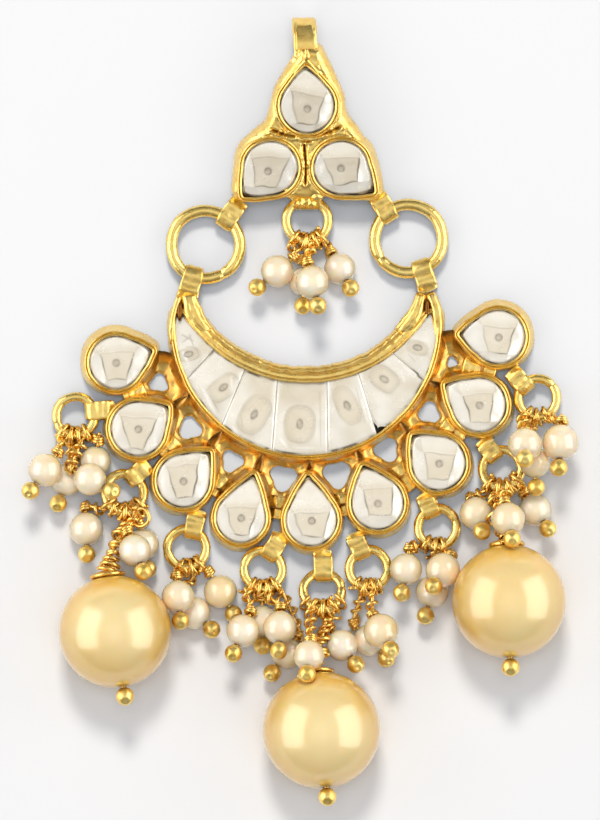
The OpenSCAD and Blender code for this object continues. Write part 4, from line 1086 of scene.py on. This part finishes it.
def body_height(q, s):
    q3 = (q[0], q[1], 0.0)
    d = 9.0
    for O, Nn in zip(CUP_LINES, CUP_N):
        D = q - O
        L = (D ** 2).sum(1)
        k = int(L.argmin())
        dd = math.sqrt(L[k]) * (1 if np.dot(D[k], Nn[k]) > 0 else -1)
        if dd < d: d = dd
    if d < 0.27: return 0.95, 0.6, 0.6
    w = 0.95
    f = min(1.0, s / w)
    z = 0.75 + 1.62 * math.sqrt(max(0.0, 1 - (1 - f) ** 2))
    z -= 0.10 * float(smooth(0.42, 0.9, d)) * float(smooth(0.3, 1.0, s))          # a little hollow away from the rims
    z += 0.09 * nz(q3, 0.8, 3.0) + 0.035 * nz(q3, 2.1, 8.0) + 0.02 * nz(q3, 4.0, 9.0)
    z -= 0.10 * math.exp(-((d - 0.43) / 0.07) ** 2)
    # painted shade: hollows away from the rims darkened, partly at random, and a thin dark line just outside each cup
    rec = 0.18 * float(smooth(0.5, 1.0, d)) * float(smooth(0.5, 1.1, s)) + 0.12 * max(0.0, nz(q3, 1.3, 5.0))
    cre = 0.25 * math.exp(-((d - 0.44) / 0.06) ** 2) * max(0.0, 0.4 + nz(q3, 1.0, 14.0))
    # each groove is cut and darkened with painted shade
    for (a, b, wd, st) in GROOVES:
        g_, t = seg_dist(q, v2(*a), v2(*b))
        g_ += 0.03 * nz(q3, 2.5, 21.0)
        e = math.exp(-(g_ / wd) ** 2) * (0.35 + 0.65 * math.sin(math.pi * min(1, max(0, 0.1 + 0.8 * t))))
        z -= 0.30 * e * st
        cre = max(cre, st * math.exp(-(g_ / (wd * 0.85)) ** 2))
        z += 0.12 * st * math.exp(-((g_ - 2.6 * wd) / (wd * 1.3)) ** 2)
    return z, min(1.0, rec), min(1.0, cre)
relief(top, BODY, body_height, 0.1, 0.085, lift_top)
# little chevron above the upper stone's point
for sgn in (-1, 1):
    path = [lift_top(v2(0.02 + sgn * 1.0 * t, 12.52 - 0.95 * t - 0.25 * t * t, 2.40 - 0.08 * t)) for t in np.linspace(0, 1, 12)]
    wire(top, path, [0.17 - 0.04 * t for t in np.linspace(0, 1, 12)], 10, recess=0.0, crease=0.0)
path = [lift_top(v2(0.02 + 0.06 * math.sin(3 * t), 12.6 + 0.75 * t, 2.36 - 0.1 * t)) for t in np.linspace(0, 1, 8)]
wire(top, path, [0.26, 0.3, 0.34, 0.33, 0.28, 0.24, 0.2, 0.16], 10, recess=0.0, crease=0.0)
# ridge(): a wire along a fold, for where the cups meet; then lumps where the three cups meet and above the upper
# stone's point
def ridge(pts, rad, rec, cre, z, seed, n=26, squash=1.0):
    P = resample([v2(*q) for q in pts], n, closed=False)
    P = soften(P, 0.25, closed=False)
    path = [lift_top(v2(q[0] + 0.04 * nz((q[0], q[1], 0), 1.4, seed), q[1] + 0.04 * nz((q[0], q[1], 3), 1.4, seed), z + 0.06 * nz((q[0], q[1], 6), 1.1, seed))) for q in P]
    R = [rad * (1 + 0.2 * nz((q[0], q[1], 9), 1.2, seed)) * (0.55 + 0.45 * math.sin(math.pi * (0.08 + 0.84 * k / (n - 1))) ** 0.5) for k, q in enumerate(P)]
    wire(top, path, R, 12, recess=rec, crease=cre, squash=squash)
for k, (x, y, r, s) in enumerate([(0.05, 5.62, 0.36, 1.0), (-0.55, 5.6, 0.22, 2.0), (0.6, 5.62, 0.24, 3.0)]):
    blob(top, lift_top(v2(x, y, 1.9)), r, 18, 0.16, 1.6, s, scale=(1.25, 1, 0.9), recess=0.1, crease=0.0)
for k, (x, y, z, r) in enumerate([(-0.78, 12.35, 1.62, 0.42), (0.05, 12.75, 1.95, 0.36), (0.85, 12.5, 1.7, 0.45), (0.45, 12.95, 1.9, 0.34), (-0.4, 12.9, 1.9, 0.3)]):
    blob(top, lift_top(v2(x, y, z)), r, 20, 0.16, 1.4, 30 + k * 2.1, scale=(1.2, 1.1, 0.8), recess=0.1, crease=0.0)
# grains of solder at the foot
for k, (x, y, r) in enumerate([(-0.95, 0.35, 0.5), (0.0, 0.72, 0.55), (0.95, 0.35, 0.52), (0.0, -0.12, 0.55), (-0.5, -0.3, 0.42), (0.52, -0.3, 0.42),
                               (-0.45, 1.15, 0.36), (0.48, 1.15, 0.36), (-1.5, 0.75, 0.4), (1.5, 0.75, 0.4)]):
    blob(top, lift_top(v2(x, y, 1.62 + 0.1 * (k % 3))), r, 18, 0.14, 1.8, 10 + k * 1.9, scale=(1.1, 1.0, 0.9), recess=0.0)

# straps of the trefoil, at the link rings and round the centre ring
for j, l in enumerate(LINKS):
    p = v2(l[0] + LINK_R * cosd(l[3]), l[1] + LINK_R * sind(l[3]), l[2])
    strap(top, p, l[4] + 90, 1.7, LINK_W + 0.2, 2.0, 70 + j * 3.0)
strap(top, v2(0.09, 18.53, 1.42), 0, 2.5, JUMP_W + 0.28, 1.15, 80.0)
top.make("trefoil", [GOLD], "gold", ["top_frame"], angle=50)

lac = Geo()
for O, c, ang in top_stones: plate(lac, inset(O, 0.03), 0.74, 1.25, lift_top)
lac.make("trefoil_lac", [LAC], "gold", [], angle=60)
for i, (O, c, ang) in enumerate(top_stones):
    x, y, r, tip, a = TOP_CUPS[i]
    P = place2(drop(r + 0.01, tip - 0.13, 150, 0.22, 0.12), c, a)
    g = Geo()
    stone(g, P, c + v2(*((0.0, -0.25), (-0.25, -0.3), (0.0, -0.05))[i]), 1.3, 2.34, 10 + i * 6.1, TOP_TABLES[i], lift=lift_top)
    g.make(f"top_stone_{i + 1}_cut", [STONE], "stone", [f"top_stone_{i + 1}"], angle=25)

# ------------------------------------------------------------------ ear hook
HOOK_Y = 13.11
z1 = TOP_Z + HOOK_Y * sind(TOP_TILT) + 1.35 * cosd(TOP_TILT)
y1 = TOP_Y + HOOK_Y * cosd(TOP_TILT) - 1.35 * sind(TOP_TILT)
BEND = (z1 - 0.4) / (1 + cosd(TOP_TILT))
BEND_Y = y1 + BEND * sind(TOP_TILT)
hook = Geo()
path, widths, thick = [], [], []
for k in np.linspace(0, 1, 10):
    p = lift_top(v2(0, 12.35 + (HOOK_Y - 12.35) * k, 1.35 + 0.25 * (1 - k)))
    path.append(p); widths.append(1.75 + 0.4 * smooth(0, 0.6, k)); thick.append(0.62 + 0.05 * k)
for a in np.linspace(90 + TOP_TILT, -62, 44)[1:]:
    path.append(v2(0, BEND_Y + BEND * cosd(a), 0.4 + BEND + BEND * sind(a)))
    k = (90 + TOP_TILT - a) / (152 + TOP_TILT)
    w = 2.2 - 0.12 * smooth(0.0, 0.2, k) - 1.22 * smooth(0.48, 1.0, k)
    widths.append(w)
    thick.append(0.68 + 0.1 * smooth(0.6, 1.0, k))
path = np.array(path)
g0 = Geo()
band(g0, path, widths, thick, (1, 0, 0), 0.17)
V = []
for p in g0.v:
    q = v2(*p)
    lean = -0.20 * float(smooth(31.6, 34.6, q[1])) * float(smooth(1.4, 2.8, q[2]))
    q = q + v2(0.10 * nz(q, 0.9, 3) + lean, 0.06 * nz(q, 1.3, 8), 0.10 * nz(q, 1.2, 5) + 0.05 * nz(q, 2.6, 6))
    V.append(q)
hook.add(V, g0.f, 0, recess=[0.0] * len(V))
# folded end of the strip, lying on top of it
fold = []
for k in np.linspace(0, 1, 18):
    a = 96 - 62 * k
    rr = BEND + 0.5 - 0.13 * smooth(0.7, 1.0, k)
    fold.append(v2(0.0, BEND_Y + rr * cosd(a), 0.4 + BEND + rr * sind(a)))
g0 = Geo()
band(g0, fold, [1.62 + 0.1 * math.sin(5 * k) - 0.3 * k * k for k in np.linspace(0, 1, 18)], 0.2, (1, 0, 0), 0.07)
hook.add([v2(*p) + v2(0.09 * nz(p, 1.2, 13) - 0.20 * float(smooth(31.6, 34.6, p[1])) * float(smooth(1.4, 2.8, p[2])), 0.03 * nz(p, 1.4, 18), 0.05 * nz(p, 1.6, 15)) for p in g0.v], g0.f, 0, recess=[0.0] * len(g0.v))
# the round wire behind the trefoil
wp = []
for a in np.linspace(-50, -90, 14): wp.append(v2(0, BEND_Y + BEND * cosd(a), 0.4 + BEND + BEND * sind(a)))
for y in np.linspace(BEND_Y - 0.4, 27.12, 20): wp.append(v2(0, y, 0.4))
wr = [0.4] * len(wp)
wr[-1], wr[-2] = 0.33, 0.38
wire(hook, wp, wr, 20, recess=0.0)
hook.make("hook_strip_and_wire", [GOLD], "gold", ["ear_hook"], angle=50)

# ------------------------------------------------------------------ rings
def ring_path(name=None, centre=None, R=None, n=96, wob=0.05, seed=0.0, gap=2.0, start=0.0):
    out = []
    for a in np.linspace(start + gap / 2, start + 360 - gap / 2, n):
        w = wob * nz((cosd(a), sind(a), seed), 1.1, seed)
        if name: out.append(on_ring(name, a, w))
        else: out.append(np.asarray(centre) + v2((R + w) * cosd(a), (R + w) * sind(a), 0.4 * wob * nz((cosd(a), sind(a), seed), 0.9, seed + 4)))
    return out
SEAM = {"a": 200, "b": 340, "c": 185, "d": 170, "e": 10, "f": 350, "g": 20, "h": 5, "i": 40, "0": 250}
for k, name in enumerate("abcdefghi0"):
    g = Geo()
    path = ring_path(name, wob=0.07, seed=2.0 + k * 1.7, start=SEAM[name])
    rad = [JUMP_W * 0.98 * (1 + 0.05 * nz(p, 1.2, k)) for p in path]
    for e in range(3): rad[e] *= 0.86 + 0.05 * e; rad[-1 - e] *= 0.86 + 0.05 * e
    wire(g, path, rad, 18, squash=1.0, recess=0.0)
    node_name = "centre_ring" if name == "0" else "jump_ring_" + name
    g.make("ring_" + ("centre" if name == "0" else name), [RING_GOLD], "ring_gold", [node_name], angle=60)
for j, (l, side) in enumerate(zip(LINKS, ("left", "right"))):
    g = Geo()
    path = ring_path(None, (l[0], l[1], l[2]), LINK_R, 140, 0.10, 20.0 + j * 3, 1.4, (300, 215)[j])
    rad = [LINK_W * 0.97 * (1 + 0.07 * nz(p, 0.8, j + 30)) for p in path]
    for e in range(3): rad[e] *= 0.84 + 0.06 * e; rad[-1 - e] *= 0.84 + 0.06 * e
    wire(g, path, rad, 22, recess=0.0)
    g.make("link_" + side, [RING_GOLD], "ring_gold", ["link_ring_" + side], angle=60)

# ------------------------------------------------------------------ pearls and head pins
def over_floor(p):
    return max((p[3] + 0.12 + WRAP_L) * sind(p[5]) + WRAP_R * cosd(p[5]) + 0.03,
               BALL_R + 0.03 - (p[3] + 0.04 + BALL_R) * sind(p[5]))
SEATS = []
for p in PEARLS:
    z = max(p[3], p[7], over_floor(p))
    for q in SEATS:
        d, s = math.hypot(p[1] - q[0], p[2] - q[1]), p[3] + q[3] + 0.05
        if d < s: z = max(z, q[2] + math.sqrt(s * s - d * d))
    SEATS.append((p[1], p[2], z, p[3]))

BALLS = [(v2(*q[:3]), q[3]) for q in SEATS] + [(v2(p[1], p[2], p[3]), p[3]) for p in LARGE]
def keep_off(P, w, gap=0.02):
    """Moves the points of a wire's path out of every pearl, and off the floor."""
    P = np.array(P, float)
    for _ in range(3):
        for c, r in BALLS:
            D = P - c
            L = np.linalg.norm(D, axis=1)
            hit = L < r + w + gap
            P[hit] = c + D[hit] / L[hit][:, None] * (r + w + gap)
        P[:, 2] = np.maximum(P[:, 2], w + 0.01)
    return P

def pearl(g, c, r, d, hole, seed, seg=48, lump=0.012, warm=0.0, top=0.35):
    """A drilled pearl: its poles turn in to the hole."""
    t = unit(d)
    a = unit(np.cross(t, v2(0, 0, 1) if abs(t[2]) < 0.9 else v2(1, 0, 0)))
    b = np.cross(t, a)
    ph0 = math.asin(min(0.9, hole / r))
    phs = [("in", hole * 0.8, r * 0.72), ("in", hole * 0.82, r * math.cos(ph0) - 0.12), ("in", hole * 0.9, r * math.cos(ph0) - 0.03)]
    verts, low, tnt, hol = [], [], [], []
    rows = []
    for _, rad, h in phs: rows.append((rad, h, 1.0))
    steps = 40
    for k in range(steps + 1):
        ph = ph0 + (math.pi - 2 * ph0) * k / steps
        rows.append((r * math.sin(ph), r * math.cos(ph), 0.6 if k in (0, steps) else 0.0))
    for _, rad, h in reversed(phs): rows.append((rad, -h, 1.0))
    for rad, h, ho in rows:
        for j in range(seg):
            k = 2 * math.pi * j / seg
            n = a * math.cos(k) * rad + b * math.sin(k) * rad + t * h
            u = unit(n)
            q = n * (1 + lump * nz(u, 1.1, seed) * (1 - ho))
            verts.append(np.asarray(c) + q)
            # painted shade: grows as the surface turns sideways and down
            low.append(float(smooth(0.93, 0.12, u[2])))
            # painted reflection: the end towards the wrapped wire is warmed, as if the gold were reflected there, on
            # top of each pearl's own warmth at random
            pole = float(smooth(0.45, 1.0, -float(np.dot(u, t))))
            tnt.append(min(1.0, max(0.0, warm + top * pole + 0.35 * nz(u, 0.8, seed + 5))))
            hol.append(ho)
    m = len(rows)
    faces = grid_faces(m, seg, close_cols=True, flip=True)
    faces.append(tuple(range(seg)))
    faces.append(tuple((m - 1) * seg + j for j in reversed(range(seg))))
    g.add(verts, faces, 0, low=low, tint=tnt, hole=hol)

def helix(p0, p1, turns, r0, r1, seed, per=20, rough=0.12, spread=None):
    """Turns of wire round the line from p0 to p1, a little uneven."""
    ax = unit(p1 - p0)
    a = unit(np.cross(ax, v2(0, 0, 1) if abs(ax[2]) < 0.9 else v2(1, 0, 0)))
    b = np.cross(ax, a)
    out = []
    n = max(8, int(turns * per))
    for k in range(n + 1):
        u = k / n
        ang = 2 * math.pi * turns * u + seed
        rr = (r0 + (r1 - r0) * u) * (1 + rough * noise.noise(Vector((u * turns * 0.9, seed, 0))))
        h = u + 0.12 / max(1.0, turns) * noise.noise(Vector((u * turns * 0.7, seed + 3, 1)))
        if spread: h = spread(h)
        out.append(p0 + (p1 - p0) * h + (a * math.cos(ang) + b * math.sin(ang)) * rr)
    return out

def head_pin(g, p, r, d, name, at, w_r, w_l, w, b_r, seed, big=False):
    """A ball-ended wire: ball, wire through the pearl, wrapped coil, neck with the wire's tail wound round it, and a loop on the ring."""
    blob(g, p + d * (r + b_r + 0.03), b_r, 30, 0.03, 1.5, seed, mat=1, axis=unit(d * 0.7 + v2(0, 0, 1.1)), dimple=0.12, recess=0.0, crease=0.0)
    end = p - d * (r + 0.12 + w_l)
    # painted shade: the pin's wires are darkened a little, most inside the pearl and in the wraps
    wire(g, [p + d * (r + b_r * 0.5), p + d * (r - 0.4)], w, 12, recess=0.3, crease=0.2)
    wire(g, [p - d * (r - 0.4), end + d * 0.1], w, 12, recess=0.3, crease=0.2)
    q = on_ring(name, at)
    t = along_ring(name, at)
    lr = JUMP_W + 0.07 + w
    u = unit(end - q - t * np.dot(end - q, t))
    v = np.cross(t, u)
    sgn = 1 if noise.noise(Vector((seed * 3.1, 1, 0))) > 0 else -1
    # the loop leaves the neck, runs round the ring and comes back beside itself, a little wider
    loop = []
    turns2 = 1.45
    m = int(turns2 * 30)
    for k in range(m + 1):
        s = k / m
        ang = 2 * math.pi * turns2 * s
        sh = sgn * (s - 0.45) * w * 2.6 + 0.08 * noise.noise(Vector((s * 4, seed + 2, 0)))
        rr = lr * (1 + 0.10 * s + 0.07 * noise.noise(Vector((s * 3, seed + 5, 0))))
        loop.append(q + (u * math.cos(ang) + v * math.sin(ang)) * rr + t * sh)
    neck0 = end + d * 0.15
    neck1 = loop[0]
    mid_ = (neck0 + neck1) / 2 + (v * 0.10 * sgn)
    neck = [neck0 * (1 - s) ** 2 + mid_ * 2 * s * (1 - s) + neck1 * s ** 2 for s in np.linspace(0, 1, 12)]
    # the tail comes off the loop and winds down the neck
    full = np.array(neck[:-1] + loop)
    full = soften(resample(full, 104, closed=False), 0.10, closed=False)
    wire(g, keep_off(full, w * 0.94), w * 0.94, 10, recess=0.05, crease=0.0)
    far = float(np.linalg.norm(neck1 - neck0))
    if not big:
        coil = helix(p - d * (r + 0.14 + w * 0.6), end + d * 0.05, 2.6, (w_r - w * 0.5) * 1.25, (w_r - w * 0.78), seed, 22, 0.3)
        wire(g, keep_off(coil, w * 0.86), w * 0.86, 9, recess=0.1, crease=0.0)
        if far > 0.55:
            nt_ = min(3.6, far / 0.95)
            lo, hi = neck0, neck1 + u * 0.12
            tail = helix(lo, hi, nt_, w * 1.6, w * 2.5, seed + 1.0, 18, 0.75)
            tail = soften(resample(np.array(tail), int(20 + nt_ * 16), closed=False), 0.06, closed=False)
            wire(g, keep_off(tail, w * 0.84), w * 0.84, 9, recess=0.1, crease=0.0)
    else:
        # below the ring an uneven wrap of wire, loose above and closer below, then a flat spiral on the pearl
        A, B = neck1 + u * 0.15, p - d * (r + 0.3)
        L = float(np.linalg.norm(B - A))
        k1 = A + (B - A) * 0.5
        spring = helix(A, k1 + (B - A) * 0.12, L * 0.6 / 0.95, 0.52, 0.84, seed, 26, 1.6)
        wire(g, keep_off(spring, 0.18), 0.18, 10, recess=0.10, crease=0.0)
        second = helix(A + v * 0.1, B - (B - A) * 0.2, L * 0.8 / 1.25, 0.76, 0.52, seed + 4, 26, 1.5)
        wire(g, keep_off(second, 0.165), 0.165, 10, recess=0.15, crease=0.0)
        tight = helix(k1, B, L * 0.5 / 0.62, 0.44, 0.74, seed + 2, 26, 0.8)
        wire(g, keep_off(tight, 0.19), 0.19, 10, recess=0.15, crease=0.0)
        ax = -d
        a = unit(np.cross(ax, v2(0, 0, 1)))
        b = np.cross(ax, a)
        cap = []
        for k in range(97):
            s = k / 96
            ph = math.asin(min(0.9, (0.5 + 1.1 * s) / (r + 0.2)))
            ang = 2 * math.pi * 2.9 * s + seed
            n_ = ax * math.cos(ph) + (a * math.cos(ang) + b * math.sin(ang)) * math.sin(ph)
            cap.append(p + n_ * (r + 0.20 + 0.12 * (1 - s) + 0.03 * noise.noise(Vector((s * 6, seed, 2)))))
        wire(g, cap, 0.18, 10, recess=0.2, crease=0.0)
        blob(g, (k1 + B) / 2, 0.40, 22, 0.25, 1.6, seed, recess=0.2, crease=0.0)

def tangle(g, name, spots, seed):
    """Spare turns of wire over the ring, between the head pins, slanting, with their ends curled below it."""
    for k, at in enumerate(spots):
        q = on_ring(name, at)
        t = along_ring(name, at)
        rad = unit(q - v2(RINGS[name][0], RINGS[name][1], q[2]))
        b = unit(np.cross(t, rad))
        w = 0.15
        lr = JUMP_W + 0.07 + w
        sd = seed + k * 2.3
        sg = 1 if (k + int(seed)) % 2 else -1
        path = []
        turns = 0.95
        for j in range(31):
            s = j / 30
            ang = -2.2 + 2 * math.pi * turns * s + 0.5 * nz((sd, 1, 0), 1.0)
            rr = lr * (1.04 + 0.22 * s + 0.10 * abs(nz((sd, s * 2, 3), 1.0)))
            c = q + rad * 0.12 * s + t * (sg * 0.75 * (s - 0.5) + 0.08 * noise.noise(Vector((s * 4, sd, 0))))
            path.append(c + (rad * math.cos(ang) + b * math.sin(ang)) * rr)
        # its end hangs down below the ring and curls round
        last = path[-1]
        down = unit(rad * 0.8 + v2(0, -0.8, -0.1) + t * 0.5 * sg)
        side = unit(np.cross(down, v2(0, 0, 1)))
        n = 22
        for j in range(1, n):
            s = j / n
            a = 2 * math.pi * (1.2 + 0.5 * nz((sd, 5, 0), 1.0)) * s
            path.append(last + down * (1.15 * s) + (side * math.sin(a) + v2(0, 0, 1) * (1 - math.cos(a)) * 0.4) * 0.34 * s ** 0.5)
        path = soften(resample(np.array(path), 96, closed=False), 0.06, closed=False)
        # painted shade: the spare turns are darkened a little
        wire(g, keep_off(path, w), w, 9, recess=0.12, crease=0.0)

# colour of single pearls that are warmer than the rest: cluster, place in it
WARM = {("c", 0): 0.75, ("d", 1): 0.35, ("f", 1): 0.45, ("a", 1): 0.3, ("h", 1): 0.5, ("h", 2): 0.35, ("g", 2): 0.2, ("i", 0): 0.3, ("b", 1): 0.15}
SPOTS = {"0": (-105, -80, -58), "a": (-118, -92, -66), "b": (-118, -104, -74, -48), "c": (-90, -62), "d": (-115, -90, -64), "e": (-135, -104, -72, -40),
         "f": (-112, -88, -64), "g": (-114, -84), "h": (-118, -84, -52), "i": (-108, -80)}
for name in "0abcdefghi":
    gp, gw = Geo(), Geo()
    nth = 0
    for k, p in enumerate(PEARLS):
        if p[0] != name: continue
        s = v2(*SEATS[k][:3])
        d = direction(p[4], p[5])
        pearl(gp, s, p[3], d, PIN_R + 0.05, 3.0 + k * 1.3, warm=WARM.get((name, nth), 0.0))
        nth += 1
        head_pin(gw, s, p[3], d, name, p[6], WRAP_R, WRAP_L, PIN_R, BALL_R, 1.0 + k * 0.77)
    tangle(gw, name, SPOTS[name], 11.0 + ord(name) * 0.7)
    gp.make("pearls_" + name + "_drilled", [SMALL_PEARL], "small_pearl", ["pearls_" + name], angle=60)
    gw.make("pins_" + name + "_wire", [PIN_GOLD, BALL_GOLD], "pin_gold", ["head_pins_" + name], angle=60)
def ringlet(g, name, at, centre, rad, seed):
    """A spare turn of wire that leaves the ring and makes a small open loop beside the pins."""
    q = on_ring(name, at, -0.3, JUMP_W + 0.25)
    C = v2(*centre)
    start = math.degrees(math.atan2(q[1] - C[1], q[0] - C[0]))
    path = [q, q * 0.5 + (C + v2(cosd(start), sind(start), 0.5) * rad) * 0.5 + v2(0, 0, 0.15)]
    for k in range(31):
        a = start - 410 * k / 30
        rr = rad * (1.0 + 0.10 * nz((cosd(a), sind(a), seed), 1.0))
        path.append(C + v2(cosd(a) * rr * 0.92, sind(a) * rr, 0.25 * cosd(a) - 0.008 * k))
    path = soften(resample(np.array(path), 90, closed=False), 0.05, closed=False)
    # painted shade: the small loop is darkened a little
    wire(g, keep_off(path, 0.17), 0.17, 10, recess=0.1, crease=0.0)

for k, p in enumerate(LARGE):
    gp, gw = Geo(), Geo()
    if p[1] < -10: ringlet(gw, p[0], -62, (-14.55, -9.55, 2.7), 0.80, 4.0)
    s = v2(p[1], p[2], p[3])
    d = direction(p[4], p[5])
    pearl(gp, s, p[3], d, 0.33, 60.0 + k * 2.1, 112, 0.006, 0.0, 0.9)
    head_pin(gw, s, p[3], d, p[0], p[6], 0.6, 1.0, 0.24, 0.8, 40.0 + k * 1.3, big=True)
    gp.make("large_pearl_" + p[0] + "_drilled", [LARGE_PEARL], "large_pearl", ["large_pearl_" + p[0]], angle=60)
    gw.make("large_pin_" + p[0] + "_wire", [PIN_GOLD, BALL_GOLD], "pin_gold", ["large_pin_" + p[0]], angle=60)

# ------------------------------------------------------------------ stage, light and camera
def floor():
    m, nt, p = nodes_of("pale_floor")
    n = noise_tex(nt, 30, 2, 0.5)
    nt.links.new(ramp(nt, n, [(0.3, (0.805, 0.805, 0.805)), (0.7, (0.815, 0.815, 0.815))]), p.inputs["Base Color"])
    p.inputs["Roughness"].default_value = 0.9
    p.inputs["Specular IOR Level"].default_value = 0.0
    me = bpy.data.meshes.new("floor")
    s = 3.0
    me.from_pydata([(-s, -s, -0.00002), (s, -s, -0.00002), (s, s, -0.00002), (-s, s, -0.00002)], [], [(0, 1, 2, 3)])
    me.materials.append(m)
    ob = bpy.data.objects.new("floor", me)
    bpy.context.scene.collection.objects.link(ob)
floor()

def area(name, loc, target, size, size_y, power, colour=(1, 1, 1), glossy=True, diffuse=True):
    l = bpy.data.lights.new(name, "AREA")
    l.shape = "RECTANGLE"
    l.size, l.size_y = size, size_y
    l.energy = power
    l.color = colour
    ob = bpy.data.objects.new(name, l)
    bpy.context.scene.collection.objects.link(ob)
    ob.location = loc
    d = Vector(target) - Vector(loc)
    ob.rotation_mode = "QUATERNION"
    ob.rotation_quaternion = d.to_track_quat("-Z", "Y")
    ob.visible_glossy, ob.visible_diffuse = glossy, diffuse
    return ob
area("key", (-0.04, 0.68, 1.0), (0, 0, 0), 0.24, 0.24, 7.5, (1.035, 1.0, 0.94), glossy=False)
area("overhead", (0.0, 0.06, 1.25), (0, 0, 0), 0.40, 0.40, 3.15, (0.95, 0.99, 1.07), glossy=False)
for k, b in enumerate((20, 160, 225, 315)):
    area("low_fill_%d" % k, (1.06 * cosd(b), 1.06 * sind(b), 0.74), (0, 0, 0), 0.6, 0.6, 1.15, (0.98, 0.99, 1.04), glossy=False)
for side, name in ((-1, "left_box"), (1, "right_box")):
    d = v2(side * cosd(30) * cosd(8), cosd(30) * sind(8), sind(30)) * 1.2
    area(name, tuple(d), (0, 0, 0), 1.75, 1.15, 15.5, diffuse=False)

w = bpy.data.worlds.new("studio")
bpy.context.scene.world = w
w.use_nodes = True
nt = w.node_tree
bg = nt.nodes["Background"]
tc = nt.nodes.new("ShaderNodeTexCoord")
sep = nt.nodes.new("ShaderNodeSeparateXYZ")
nt.links.new(tc.outputs["Generated"], sep.inputs["Vector"])
nt.links.new(ramp(nt, sep.outputs["Z"], [(0.0, (0.138, 0.14, 0.142)), (0.25, (0.188, 0.19, 0.193)), (0.6, (0.287, 0.29, 0.295)), (0.88, (0.436, 0.44, 0.447)), (1.0, (0.99, 1.0, 1.015))]), bg.inputs["Color"])
bg.inputs["Strength"].default_value = 1.0

cam = bpy.data.cameras.new("camera")
co = bpy.data.objects.new("camera", cam)
bpy.context.scene.collection.objects.link(co)
cam.lens = 260.0
cam.sensor_width = 36.0
TALL = 0.0722                                   # metres across the long side of the picture
dist = TALL / 36.0 * 260.0
co.location = (0.0, 0.0, dist + 0.003)
co.rotation_euler = (0, 0, 0)
cam.clip_start, cam.clip_end = 0.01, 10.0
bpy.context.scene.camera = co

vs = bpy.context.scene.view_settings
vs.view_transform = "Standard"
vs.look = "None"
vs.exposure = 0.0
# the metal's reflections don't throw light patches on the floor: the photo shows none
bpy.context.scene.cycles.caustics_reflective = False
